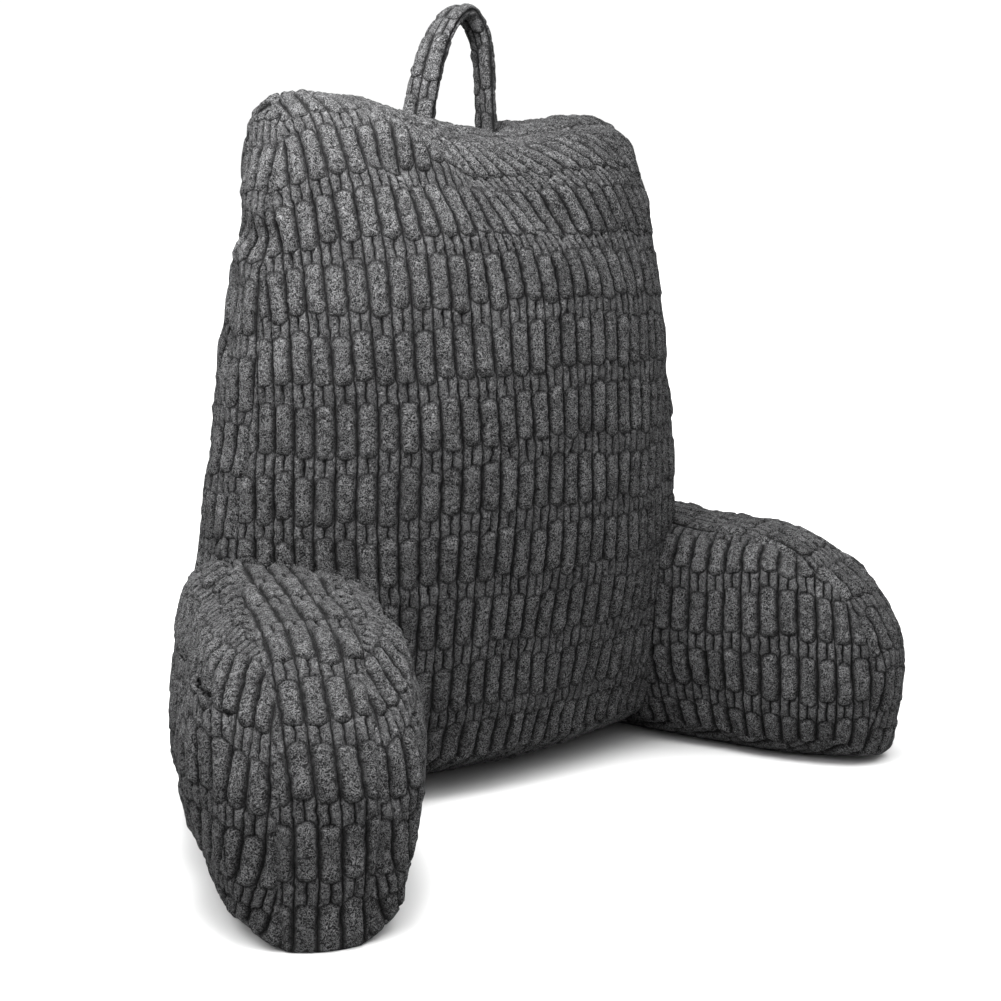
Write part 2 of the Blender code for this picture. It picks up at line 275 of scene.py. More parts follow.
def brick_relief(sums: NodeSums, place: Socket, sizes: dict, weaving: Weaving = Weaving()) -> tuple:
    """Write the height of the ribbed cloth, from 0 in a groove to 1 on a brick.

    Args:
        sums: the tree to write into.
        place: the cloth's own coordinates, across the ribs and along them, in metres.
        sizes: rib width, row height, brick height, groove, flank, corner,
            narrow share and seed, each a number or a socket.
        weaving: how uneven the bricks are.

    Returns:
        The height, how far a rib is out of its grooves, and 1 on a fat brick.
    """
    u, v, _ = sums.split(place)
    wide, row = sizes["rib_width"], sizes["row_height"]
    sideways = sums.noise(sums.joined(u, v, 0.0), weaving.wander_cells, 1.0)
    u = sums.plus(u, sums.spread(sideways, sizes["wobble"]))
    lengthways = sums.noise(sums.joined(v, u, 3.0), weaving.wander_cells, 1.0)
    v = sums.plus(v, sums.spread(lengthways, sizes["wobble"]))
    column_at = sums.over(u, wide)
    column = sums.sum("FLOOR", column_at)
    row_at = sums.over(v, row)
    line = sums.sum("FLOOR", row_at)
    x = sums.spread(sums.minus(column_at, column), wide)
    y = sums.spread(sums.minus(row_at, line), row)
    chance = sums.node("ShaderNodeTexWhiteNoise")
    sums.feed(chance.inputs["Vector"], sums.joined(column, line, sizes["seed"]))
    shift, stretch, rise = sums.split(chance.outputs["Color"])
    y = sums.minus(y, sums.spread(shift, weaving.shift))
    half = sums.plus(sums.times(sizes["brick_height"], 0.5), sums.spread(stretch, weaving.stretch))
    half_wide = sums.minus(sums.times(wide, 0.5), sums.times(sizes["groove"], 0.5))
    past_x = sums.minus(sums.sum("ABSOLUTE", x), sums.minus(half_wide, sizes["corner"]))
    past_y = sums.minus(sums.sum("ABSOLUTE", y), sums.minus(half, sizes["corner"]))
    out_x = sums.sum("MAXIMUM", past_x, 0.0)
    out_y = sums.sum("MAXIMUM", past_y, 0.0)
    reach = sums.sum("SQRT", sums.plus(sums.times(out_x, out_x), sums.times(out_y, out_y)))
    deep = sums.sum("MINIMUM", sums.sum("MAXIMUM", past_x, past_y), 0.0)
    edge = sums.minus(sums.plus(reach, deep), sizes["corner"])
    inward = sums.over(sums.times(edge, -1.0), sizes["flank"], clamp=True)
    brick_rise = sums.ramp(weaving.lowest_brick, 1 - weaving.lowest_brick, rise)
    brick = sums.times(sums.rounded(inward), brick_rise)
    half_at = sums.sum("FRACT", sums.times(column_at, 2.0))
    off_middle = sums.sum("ABSOLUTE", sums.spread(half_at, sums.times(wide, 0.5)))
    narrow_half = sums.minus(sums.times(wide, 0.25), weaving.narrow_gap)
    narrow_flank = sums.times(sizes["flank"], 0.5)
    narrow = sums.rounded(sums.over(sums.minus(narrow_half, off_middle), narrow_flank, clamp=True))
    # Narrow ribs sink beside a brick's end: a real crease in the relief, which the material also darkens
    # as painted shade
    clear = sums.rounded(sums.over(edge, weaving.beside_width, clamp=True))
    narrow = sums.times(narrow, sums.ramp(weaving.beside_brick, 1 - weaving.beside_brick, clear))
    on_brick = sums.over(sums.minus(weaving.edge_blur, edge), 2 * weaving.edge_blur, clamp=True)
    out = sums.sum("MAXIMUM", brick, narrow)
    height = sums.sum("MAXIMUM", brick, sums.times(narrow, sizes["narrow_share"]))
    return height, out, on_brick


@dataclass
class RibTree:
    """The Geometry Nodes tree that raises the cloth's ribs and sinks its seams."""

    tree: Optional[bpy.types.NodeTree] = None

    SIZES = (
        ("Rib width", "rib_width"),
        ("Row height", "row_height"),
        ("Brick height", "brick_height"),
        ("Groove", "groove"),
        ("Flank", "flank"),
        ("Corner", "corner"),
        ("Wobble", "wobble"),
        ("Narrow share", "narrow_share"),
        ("Crest", "crest"),
        ("Valley", "valley"),
        ("Clump", "clump"),
        ("Seam width", "seam_width"),
        ("Seam depth", "seam_depth"),
        ("Seed", "seed"),
    )
    FOOT = 0.014
    SEAM_FALL = 3.0
    CRUMPLE_CELLS = 130.0
    CRUMPLE_SPAN = 2.6
    CRUMPLE_BAND = 0.5
    CRUMPLE_BRICK = 0.9

    @staticmethod
    def attribute(sums: NodeSums, name: str, kind: str) -> Socket:
        """Return the mesh attribute of a name.

        Args:
            sums: the tree to write into.
            name: the attribute's name.
            kind: its type, as Blender names it.

        Returns:
            The attribute's socket.
        """
        node = sums.node("GeometryNodeInputNamedAttribute")
        node.data_type = kind
        node.inputs["Name"].default_value = name
        return node.outputs[0]

    def push(self, sums: NodeSums, sizes: dict) -> Socket:
        """Write how far each point goes along its normal.

        Args:
            sums: the tree to write into.
            sizes: the tree's inputs, by the names of the cloth's fields.

        Returns:
            The distance, in metres.
        """
        place = self.attribute(sums, CLOTH_MAP, "FLOAT_VECTOR")
        seam = self.attribute(sums, SEAM_DISTANCE, "FLOAT")
        position = sums.node("GeometryNodeInputPosition").outputs[0]
        height, _, on_brick = brick_relief(sums, place, sizes)
        span = sums.plus(sizes["crest"], sizes["valley"])
        raised = sums.minus(sums.times(height, span), sizes["valley"])
        off_seam = sums.over(seam, sizes["seam_width"], clamp=True)
        raised = sums.times(raised, off_seam)
        near = sums.times(sums.times(off_seam, off_seam), -self.SEAM_FALL)
        sunk = sums.times(sums.sum("EXPONENT", near), sizes["seam_depth"])
        crumple = sums.spread(sums.noise(position, self.CRUMPLE_CELLS, 3.0), self.CRUMPLE_SPAN)
        crumple = sums.times(crumple, sizes["clump"])
        crumple = sums.times(crumple, sums.ramp(self.CRUMPLE_BAND, self.CRUMPLE_BRICK, on_brick))
        above = sums.over(sums.split(position)[2], self.FOOT, clamp=True)
        return sums.times(sums.plus(sums.minus(raised, sunk), crumple), above)

    def build(self) -> bpy.types.NodeTree:
        """Build the tree once.

        Returns:
            The tree, with one named input for each size of the cloth.
        """
        if self.tree:
            return self.tree
        tree = bpy.data.node_groups.new("brick_ribs", "GeometryNodeTree")
        face = tree.interface
        face.new_socket("Geometry", in_out="INPUT", socket_type="NodeSocketGeometry")
        for label, _ in self.SIZES:
            face.new_socket(label, in_out="INPUT", socket_type="NodeSocketFloat")
        face.new_socket("Material", in_out="INPUT", socket_type="NodeSocketMaterial")
        face.new_socket("Geometry", in_out="OUTPUT", socket_type="NodeSocketGeometry")
        sums = NodeSums(tree)
        given = sums.node("NodeGroupInput").outputs
        sizes = {key: given[label] for label, key in self.SIZES}
        along = sums.node("ShaderNodeVectorMath")
        along.operation = "SCALE"
        sums.feed(along.inputs[0], sums.node("GeometryNodeInputNormal").outputs[0])
        sums.feed(along.inputs["Scale"], self.push(sums, sizes))
        move = sums.node("GeometryNodeSetPosition")
        sums.feed(move.inputs["Geometry"], given["Geometry"])
        sums.feed(move.inputs["Offset"], along.outputs[0])
        real = sums.node("GeometryNodeRealizeInstances")
        sums.feed(real.inputs[0], move.outputs[0])
        dress = sums.node("GeometryNodeSetMaterial")
        sums.feed(dress.inputs["Geometry"], real.outputs[0])
        sums.feed(dress.inputs["Material"], given["Material"])
        sums.feed(sums.node("NodeGroupOutput").inputs[0], dress.outputs[0])
        self.tree = tree
        return tree

    def raise_ribs(self, piece: bpy.types.Object, cloth: PlushCloth, material: bpy.types.Material,
                   levels: int) -> None:
        """Refine a piece's mesh, raise its ribs and leave it as a plain mesh.

        Args:
            piece: the object to work on.
            cloth: the sizes of its ribs.
            material: its finish.
            levels: how often its faces are divided first.
        """
        if levels:
            refine = piece.modifiers.new("refine", "SUBSURF")
            refine.levels = refine.render_levels = levels
            refine.uv_smooth = "NONE"
        ribs = piece.modifiers.new("ribs", "NODES")
        ribs.node_group = self.build()
        values = {label: getattr(cloth, key) for label, key in self.SIZES}
        values["Material"] = material
        for item in ribs.node_group.interface.items_tree:
            if item.in_out == "INPUT" and item.name in values:
                ribs[item.identifier] = values[item.name]
        bake(piece)


def bake(piece: bpy.types.Object) -> None:
    """Turn a piece with modifiers into a plain mesh.

    Args:
        piece: the object to work on.
    """
    bpy.context.view_layer.update()
    graph = bpy.context.evaluated_depsgraph_get()
    mesh = bpy.data.meshes.new_from_object(
        piece.evaluated_get(graph), preserve_all_data_layers=True, depsgraph=graph
    )
    piece.modifiers.clear()
    piece.data = mesh
    mesh.name = piece.name


@dataclass(frozen=True)
class PlushFinish:
    """The plush's material: crumpled pile on the ribs, with painted shade down their flanks and in the
    grooves between them.
    """

    cloth: PlushCloth
    clump_cells: float = 210.0
    clump_curl: float = 1.2
    clump_tone: float = 5.0
    clump_bump: float = 1.1
    pile_cells: float = 390.0
    pile_curl: float = 3.2
    pile_tone: float = 19.0
    pile_bump: float = 2.0
    patch_cells: float = 60.0
    patch_floor: float = 0.5
    darkest: float = 0.10
    lightest: float = 3.0
    band_contrast: float = 0.50
    band_tone: float = 0.80
    band_bump: float = 0.5
    rib_bump: float = 1.1
    bump_distance: float = 0.0036
    # Painted shade: how steeply the colour darkens down the ribs' flanks towards the grooves
    flank_shade_power: float = 1.6
    specular: float = 0.04
    sheen_roughness: float = 0.5

    def material(self, name: str) -> bpy.types.Material:
        """Build the material.

        Args:
            name: the record's slot that it stands for.

        Returns:
            The material.
        """
        cloth = self.cloth
        material = bpy.data.materials.new(name)
        material.use_nodes = True
        tree = material.node_tree
        shader = tree.nodes["Principled BSDF"]
        sums = NodeSums(tree)
        place = sums.node("ShaderNodeUVMap")
        place.uv_map = CLOTH_MAP
        sizes = {key: getattr(cloth, key) for _, key in RibTree.SIZES}
        height, out, on_brick = brick_relief(sums, place.outputs[0], sizes)
        here = sums.node("ShaderNodeTexCoord").outputs["Object"]
        clumps = sums.noise(here, self.clump_cells, 2.0, self.clump_curl)
        pile = sums.noise(here, self.pile_cells, 3.0, self.pile_curl)
        patches = sums.noise(here, self.patch_cells, 2.0)
        curl = sums.plus(sums.spread(clumps, self.clump_tone), sums.spread(pile, self.pile_tone))
        curl = sums.times(curl, sums.ramp(self.band_contrast, 1 - self.band_contrast, on_brick))
        tone = sums.sum("MAXIMUM", sums.plus(1.0, curl), self.darkest)
        tone = sums.sum("MINIMUM", tone, self.lightest)
        tone = sums.times(tone, sums.ramp(self.band_tone, 1 - self.band_tone, on_brick))
        tone = sums.times(tone, sums.plus(self.patch_floor, patches))
        # Painted shade: the colour darkens towards the groove colour down each rib's flanks and in its
        # grooves, scaled by the pile's random tone
        unshaded_tone = sums.times(sums.sum("POWER", out, self.flank_shade_power), tone)
        shade_mix = sums.node("ShaderNodeMix")
        shade_mix.data_type = "RGBA"
        shade_mix.clamp_factor = False
        sums.feed(shade_mix.inputs["Factor"], unshaded_tone)
        shade_mix.inputs["A"].default_value = (*cloth.groove_shade_colour, 1.0)
        shade_mix.inputs["B"].default_value = (*cloth.colour, 1.0)
        sums.feed(shader.inputs["Base Color"], shade_mix.outputs["Result"])
        bumps = sums.plus(sums.times(clumps, self.clump_bump), sums.times(pile, self.pile_bump))
        bumps = sums.times(bumps, sums.ramp(self.band_bump, 1 - self.band_bump, on_brick))
        bumps = sums.plus(bumps, sums.times(height, self.rib_bump))
        bump = sums.node("ShaderNodeBump")
        bump.inputs["Strength"].default_value = 1.0
        bump.inputs["Distance"].default_value = self.bump_distance
        sums.feed(bump.inputs["Height"], bumps)
        sums.feed(shader.inputs["Normal"], bump.outputs["Normal"])
        shader.inputs["Roughness"].default_value = cloth.roughness
        shader.inputs["Specular IOR Level"].default_value = self.specular
        shader.inputs["Sheen Weight"].default_value = cloth.sheen
        shader.inputs["Sheen Roughness"].default_value = self.sheen_roughness
        return material


@dataclass
class PanelBox:
    """Grid points on the six sides of a box, shared where the sides meet."""

    across: int
    deep: int
    tall: int
    numbers: dict = field(default_factory=dict)
    sides: dict = field(default_factory=dict)

    def __post_init__(self) -> None:
        """Number the points and lay out each side as a grid of point numbers."""
        across, deep, tall = self.across, self.deep, self.tall
        lay = self.side_grid
        self.sides = {
            Side.FRONT: lay(across, tall, lambda u, v: (u, 0, v)),
            Side.BACK: lay(across, tall, lambda u, v: (across - u, deep, v)),
            Side.RIGHT: lay(deep, tall, lambda u, v: (across, u, v)),
            Side.LEFT: lay(deep, tall, lambda u, v: (0, deep - u, v)),
            Side.TOP: lay(across, deep, lambda u, v: (u, v, tall)),
            Side.UNDERSIDE: lay(across, deep, lambda u, v: (u, deep - v, 0)),
        }

    def side_grid(self, wide: int, long: int, place: Callable[[int, int], tuple]) -> np.ndarray:
        """Return the point numbers of one side.

        Args:
            wide: the cells along the side's first direction.
            long: the cells along its second direction.
            place: gives the box grid place of a side's own step pair.

        Returns:
            The numbers, (wide + 1) by (long + 1).
        """
        grid = [
            [self.numbers.setdefault(place(u, v), len(self.numbers)) for v in range(long + 1)]
            for u in range(wide + 1)
        ]
        return np.array(grid)


@dataclass
class Panel:
    """A cut piece of cloth: the grids of box points that it covers, and how it is laid.

    The aim holds rough flat coordinates of every box point, and trusted tells
    which points of the panel they hold for. Where flat is true the aim itself
    is the cloth's place, otherwise the panel is unwrapped. The ribs keep their
    width along the measured row of points.
    """

    grids: list
    aim: np.ndarray
    trusted: np.ndarray
    flat: bool = False
    measured_row: Optional[np.ndarray] = None

    def quads(self) -> np.ndarray:
        """Return the panel's faces as rows of four point numbers.

        Returns:
            The rows, one for each face.
        """
        found = []
        for grid in self.grids:
            corners = (grid[:-1, :-1], grid[1:, :-1], grid[1:, 1:], grid[:-1, 1:])
            found.append(np.stack([corner.ravel() for corner in corners], 1))
        return np.concatenate(found)

    def unwrapped(self, points: np.ndarray, faces: np.ndarray) -> np.ndarray:
        """Unwrap the panel with as little stretch as it allows.

        Args:
            points: the panel's own points.
            faces: its faces, numbered among those points.

        Returns:
            One complex number for each point, at no set size or turn.
        """
        mesh = bpy.data.meshes.new("pattern")
        mesh.from_pydata(points.tolist(), [], faces.tolist())
        mesh.uv_layers.new(name=CLOTH_MAP)
        pattern = bpy.data.objects.new("pattern", mesh)
        bpy.context.scene.collection.objects.link(pattern)
        for other in bpy.context.selected_objects:
            other.select_set(False)
        bpy.context.view_layer.objects.active = pattern
        pattern.select_set(True)
        bpy.ops.object.mode_set(mode="EDIT")
        bpy.ops.mesh.select_all(action="SELECT")
        bpy.ops.uv.unwrap(method="MINIMUM_STRETCH", margin=0.0, iterations=UNWRAP_ROUNDS)
        bpy.ops.object.mode_set(mode="OBJECT")
        spots = np.empty(len(mesh.loops) * 2, np.float32)
        mesh.uv_layers[CLOTH_MAP].data.foreach_get("uv", spots)
        corner = np.empty(len(mesh.loops), int)
        mesh.loops.foreach_get("vertex_index", corner)
        unwrapped = np.zeros(len(points), complex)
        unwrapped[corner] = spots[0::2].astype(float) + 1j * spots[1::2].astype(float)
        bpy.data.objects.remove(pattern)
        bpy.data.meshes.remove(mesh)
        return unwrapped

    @staticmethod
    def placed(unwrapped: np.ndarray, wanted: np.ndarray, sure: np.ndarray) -> tuple:
        """Scale, turn and mirror an unwrapped panel on to its aim.

        Args:
            unwrapped: its points as complex numbers.
            wanted: where they should lie, as complex numbers.
            sure: which of those places hold.

        Returns:
            The mean miss in metres, and the placed points.
        """
        best = None
        for turned in (unwrapped, np.conj(unwrapped)):
            off = turned - turned[sure].mean()
            goal = wanted - wanted[sure].mean()
            spin = np.vdot(off[sure], goal[sure]) / np.vdot(off[sure], off[sure])
            placed = off * spin + wanted[sure].mean()
            miss = np.abs(placed[sure] - wanted[sure]).mean()
            if best is None or miss < best[0]:
                best = (miss, placed)
        return best

    def evened(self, cloth: np.ndarray, points: np.ndarray, own: np.ndarray) -> None:
        """Give the ribs their real width along the measured row of points.

        Args:
            cloth: every box point's cloth coordinates, which are changed.
            points: every box point's place.
            own: the numbers of the panel's points.
        """
        across = cloth[self.measured_row, 0]
        arc = walked(points[self.measured_row], 0)
        middle = len(arc) // 2
        arc = (arc - arc[middle]) * np.sign(across[-1] - across[0]) + across[middle]
        rising = np.argsort(across)
        across, arc = across[rising], arc[rising]
        past = cloth[own, 0] - np.clip(cloth[own, 0], across[0], across[-1])
        cloth[own, 0] = np.interp(cloth[own, 0], across, arc) + past

    def laid(self, points: np.ndarray) -> np.ndarray:
        """Flatten the panel as a cutter would lay it, at real size.

        Args:
            points: every box point's place.

        Returns:
            Cloth coordinates for every box point, right for the panel's own ones.
        """
        if self.flat:
            return self.aim
        own, faces = np.unique(self.quads(), return_inverse=True)
        faces = faces.reshape(-1, 4)
        wanted = self.aim[own, 0] + 1j * self.aim[own, 1]
        miss, placed = self.placed(self.unwrapped(points[own], faces), wanted, self.trusted[own])
        cloth = np.zeros((len(points), 2))
        cloth[own] = np.stack([placed.real, placed.imag], -1)
        if self.measured_row is not None:
            self.evened(cloth, points, own)
        log.info("panel of %d faces laid flat, %.1f mm off its aim", len(faces), 1000 * miss)
        return cloth


def walked(points: np.ndarray, axis: int) -> np.ndarray:
    """Return the length walked over a grid of points along one axis, from its start.

    Args:
        points: the grid of points.
        axis: the axis walked along.

    Returns:
        The lengths, in metres, one for each point.
    """
    steps = np.linalg.norm(np.diff(points, axis=axis), axis=-1)
    start = np.zeros_like(np.take(steps, [0], axis=axis))
    return np.concatenate([start, np.cumsum(steps, axis=axis)], axis=axis)


def ripple(points: np.ndarray, cell: float, seed: int, waves: int = 9) -> np.ndarray:
    """Return soft random values from about -1 to 1 at points.

    Args:
        points: where the values are wanted.
        cell: the rough size of a bump, in metres.
        seed: the seed of its random draws.
        waves: how many waves are laid over each other.

    Returns:
        One value for each point.
    """
    chance = np.random.default_rng(seed)
    total = np.zeros(len(points))
    for _ in range(waves):
        direction = chance.normal(size=3)
        direction /= np.linalg.norm(direction)
        wave = cell * chance.uniform(*WAVE_SPAN)
        total += np.sin(points @ direction * (2 * math.pi / wave) + chance.uniform(0, 2 * math.pi))
    return total / math.sqrt(waves)


def new_piece(name: str, mesh: bpy.types.Mesh, places: Sequence,
              seam_distance: Optional[np.ndarray] = None) -> bpy.types.Object:
    """Give a new mesh its cloth coordinates and put it into the scene.

    Args:
        name: the name of the piece that the object stands for.
        mesh: its mesh.
        places: the cloth coordinates of its face corners, in the mesh's order.
        seam_distance: each point's distance from the nearest seam, where it has ribs to raise.

    Returns:
        The object.
    """
    mesh.uv_layers.new(name=CLOTH_MAP).data.foreach_set("uv", np.asarray(places, np.float32).ravel())
    if seam_distance is not None:
        layer = mesh.attributes.new(SEAM_DISTANCE, "FLOAT", "POINT")
        layer.data.foreach_set("value", np.asarray(seam_distance, np.float32))
    mesh.polygons.foreach_set("use_smooth", [True] * len(mesh.polygons))
    piece = bpy.data.objects.new(name + "_cloth", mesh)
    bpy.context.scene.collection.objects.link(piece)
    return piece


def face_outwards(mesh: bpy.types.Mesh) -> None:
    """Turn all faces of a closed mesh outwards.

    Args:
        mesh: the mesh, which is changed.
    """
    form = bmesh.new()
    form.from_mesh(mesh)
    bmesh.ops.recalc_face_normals(form, faces=form.faces)
    form.to_mesh(mesh)
    form.free()


@dataclass
class Stuffing:
    """How hard a form is stuffed, for its cloth simulation."""

    pressure: float = 4.0
    spare_cloth: float = 0.035
    start_inset: float = 0.004
    cap: float = 0.0022
    held_below: float = 0.010
    free_above: float = 0.070
    frames: int = 20
    quality: int = 4
    mass: float = 0.15
    stretch_stiffness: float = 12.0
    bending_stiffness: float = 0.3

    def inflate(self, piece: bpy.types.Object, held: np.ndarray) -> None:
        """Inflate the piece's cloth and leave the result in its mesh.

        Args:
            piece: the object to work on.
            held: how firmly each point is held in place, from 0 to 1.
        """
        mesh = piece.data
        wanted = read_points(mesh)
        start = wanted - read_normals(mesh) * (self.start_inset * (1 - held))[:, None]
        write_points(mesh, start)
        group = piece.vertex_groups.new(name="held")
        for index in np.nonzero(held > 0)[0]:
            group.add([int(index)], float(held[index]), "REPLACE")
        cloth = piece.modifiers.new("stuffing", "CLOTH")
        settings = cloth.settings
        settings.quality = self.quality
        settings.mass = self.mass
        settings.tension_stiffness = settings.compression_stiffness = self.stretch_stiffness
        settings.bending_stiffness = self.bending_stiffness
        settings.use_pressure = True
        settings.uniform_pressure_force = self.pressure
        settings.shrink_min = -self.spare_cloth
        settings.vertex_group_mass = "held"
        settings.effector_weights.gravity = 0.0
        cloth.collision_settings.use_collision = False
        cloth.collision_settings.use_self_collision = False
        cloth.point_cache.frame_start = 1
        cloth.point_cache.frame_end = self.frames
        scene = bpy.context.scene
        for step in range(1, self.frames + 1):
            scene.frame_set(step)
        graph = bpy.context.evaluated_depsgraph_get()
        blown = read_points(piece.evaluated_get(graph).data)
        piece.modifiers.clear()
        piece.vertex_groups.clear()
        scene.frame_set(1)
        moved = blown - wanted
        length = np.linalg.norm(moved, axis=1)
        log.info("%s: cloth moved %.1f mm at most", piece.name, 1000 * length.max())
        moved *= np.minimum(1.0, self.cap / np.maximum(length, 1e-9))[:, None]
        write_points(mesh, wanted + moved)


def read_points(mesh: bpy.types.Mesh) -> np.ndarray:
    """Return a mesh's points.

    Args:
        mesh: the mesh.

    Returns:
        The points, one a row.
    """
    flat = np.empty(len(mesh.vertices) * 3)
    mesh.vertices.foreach_get("co", flat)
    return flat.reshape(-1, 3)


def read_normals(mesh: bpy.types.Mesh) -> np.ndarray:
    """Return a mesh's point normals.

    Args:
        mesh: the mesh.

    Returns:
        The normals, one a row.
    """
    flat = np.empty(len(mesh.vertices) * 3, np.float32)
    mesh.vertex_normals.foreach_get("vector", flat)
    return flat.reshape(-1, 3).astype(float)


def write_points(mesh: bpy.types.Mesh, points: np.ndarray) -> None:
    """Put points into a mesh."""
    mesh.vertices.foreach_set("co", points.astype(np.float32).ravel())
    mesh.update()


def seat_against(piece: bpy.types.Object, neighbour: bpy.types.Object, away: Vector, gap: float,
                 margin: float = 0.01) -> None:
    """Press a piece's points out of its neighbour, along one direction.

    Args:
        piece: the softer piece, whose mesh is changed.
        neighbour: the piece that it rests against.
        away: the direction that leads out of the neighbour.
        gap: the room left between the two, in metres.
        margin: how far round the neighbour's box points are looked at.
    """
    tree = BVHTree.FromObject(neighbour, bpy.context.evaluated_depsgraph_get())
    box = read_points(neighbour.data)
    low, high = box.min(0) - margin, box.max(0) + margin
    points = read_points(piece.data)
    inside = np.all((points > low) & (points < high), axis=1)
    away = away.normalized()
    for index in np.nonzero(inside)[0]:
        start = Vector(points[index])
        place, normal, _, _ = tree.ray_cast(start, away)
        if place is not None and normal.dot(away) > 0:
            points[index] = place + away * gap
    write_points(piece.data, points)


def close_underside(piece: bpy.types.Object, weld: float = 1e-5, hair: float = 1e-6) -> None:
    """Rest a form flat on the ground, with one plain face under it.

    Args:
        piece: the object to work on.
        weld: points closer than this are merged.
        hair: what counts as no height or length.
    """
    form = bmesh.new()
    form.from_mesh(piece.data)
    for vert in form.verts:
        vert.co.z = max(vert.co.z, 0.0)
    flat = [face for face in form.faces if max(vert.co.z for vert in face.verts) < hair]
    bmesh.ops.delete(form, geom=flat, context="FACES")
    bmesh.ops.remove_doubles(form, verts=form.verts, dist=weld)
    bmesh.ops.dissolve_degenerate(form, dist=hair, edges=form.edges)
    rim = [edge for edge in form.edges if edge.is_boundary]
    filled = bmesh.ops.contextual_create(form, geom=rim)
    bmesh.ops.triangulate(form, faces=filled["faces"])
    bmesh.ops.recalc_face_normals(form, faces=form.faces)
    form.to_mesh(piece.data)
    form.free()


@dataclass
class StuffedForm:
    """A closed form of cloth panels over a stuffing: what the back-rest and the arms share."""

    name: str
    slot: str
    cloth: PlushCloth
    counts: tuple
    rounding: Rounding
    seam_share: float = 0.5
    stuffing: Stuffing = field(default_factory=Stuffing)
    pucker: float = 0.0022
    pucker_cell: float = 0.030
    pucker_seed: int = 7
    pucker_reach: float = 0.028
    pucker_starts: float = 0.006
    slack: float = 0.0016
    slack_cell: float = 0.075
    slack_seed: int = 3
    weave_wander: float = 0.0014
    wander_cells: tuple = (0.11, 0.13)
    wander_seeds: tuple = (11, 23)
    fold_taper: float = 0.25
    fold_end: float = 0.25
    still_foot: float = 0.02
    fill: float = 0.85
    shift: tuple = (0.0, 0.0)
    folds: tuple = ()

    def surface(self, a: np.ndarray, b: np.ndarray, c: np.ndarray) -> np.ndarray:
        """Return surface points at box points a, b, c in -1..1."""
        raise NotImplementedError

    def panels(self, box: PanelBox, points: np.ndarray) -> Sequence[Panel]:
        """Return the cloth panels that cover the box."""
        raise NotImplementedError

    def seams(self, box: PanelBox) -> np.ndarray:
        """Return the numbers of the points that lie on a seam."""
        raise NotImplementedError

    def pulled(self, index: int, cloth: np.ndarray) -> np.ndarray:
        """Return a panel's cloth coordinates after the pulls that it gets when sewn."""
        return cloth

    def blown_box(self, a: np.ndarray, b: np.ndarray, c: np.ndarray) -> tuple:
        """Map box points to a rounded form of the same reach, as the CAD solid does.

        Args:
            a: places across, from -1 to 1.
            b: places in depth.
            c: places in height.

        Returns:
            The rounded places x, y, z.
        """
        soft = self.rounding
        plan = np.where(b < 0, soft.plan_front, soft.plan_back)
        outline = np.where(c > 0, soft.outline_top, soft.outline_foot) / 2
        profile_top = np.where(b < 0, soft.profile_front_top, soft.profile_back_top)
        profile_foot = np.where(b < 0, soft.profile_front_foot, soft.profile_back_foot)
        profile = np.where(c > 0, profile_top, profile_foot) / 2
        plan_x = plan * (1 - self.seam_share)
        plan_y = plan * self.seam_share
        aa, bb, cc = a * a, b * b, c * c
        x = a * np.sqrt(1 - plan_x * bb - outline * cc + plan_x * outline * bb * cc * 4 / 3)
        y = b * np.sqrt(1 - plan_y * aa - profile * cc + plan_y * profile * aa * cc * 4 / 3)
        z = c * np.sqrt(1 - outline * aa - profile * bb + outline * profile * aa * bb * 4 / 3)
        return x, y, z

    def even_stations(self, axis: int, steps: int) -> np.ndarray:
        """Return steps + 1 places in -1..1 that part the form evenly along one axis.

        Args:
            axis: 0 across, 1 in depth or 2 in height.
            steps: the number of parts.

        Returns:
            The places.
        """
        fine = np.linspace(-1, 1, MEASURING_STEPS + 1)
        zero = np.zeros_like(fine)
        lines = ((fine, zero - 1, zero), (zero + 1, fine, zero), (zero, zero - 1, fine))
        length = walked(self.surface(*lines[axis]), 0)
        return np.interp(np.linspace(0, length[-1], steps + 1), length, fine)

    def flipped(self) -> bool:
        """Tell whether the surface mirrors the box, so that its faces turn over."""
        return False

    def cage(self) -> bpy.types.Object:
        """Build the form's smooth cage with its cloth coordinates and seam distances.

        Returns:
            The object that holds the cage.
        """
        box = PanelBox(*self.counts)
        numbers = np.array(list(box.numbers))
        stations = [self.even_stations(axis, steps) for axis, steps in enumerate(self.counts)]
        points = self.surface(*(stations[axis][numbers[:, axis]] for axis in range(3)))
        quads, places = [], []
        for index, panel in enumerate(self.panels(box, points)):
            cloth = self.pulled(index, panel.laid(points))
            flat = np.pad(cloth, ((0, 0), (0, 1)))
            ways = zip(self.wander_cells, self.wander_seeds)
            wander = [ripple(flat, cell, seed + index) for cell, seed in ways]
            cloth = cloth + self.weave_wander * np.stack(wander, -1)
            faces = panel.quads()
            quads.append(faces)
            places.append(cloth[faces])
        quads, places = np.concatenate(quads), np.concatenate(places)
        if self.flipped():
            quads, places = quads[:, ::-1], places[:, ::-1]
        mesh = bpy.data.meshes.new(self.name)
        mesh.from_pydata(points.tolist(), [], quads.tolist())
        return new_piece(self.name, mesh, places, self.seam_distances(box, points))

    def seam_distances(self, box: PanelBox, points: np.ndarray) -> np.ndarray:
        """Return each point's distance from the nearest seam.

        Args:
            box: the box of panels, with its grids of point numbers.
            points: every box point's place.

        Returns:
            The distances, in metres.
        """
        seams = self.seams(box)
        sewn = KDTree(len(seams))
        for index in seams:
            sewn.insert(points[index], int(index))
        sewn.balance()
        return np.array([sewn.find(point)[2] for point in points])

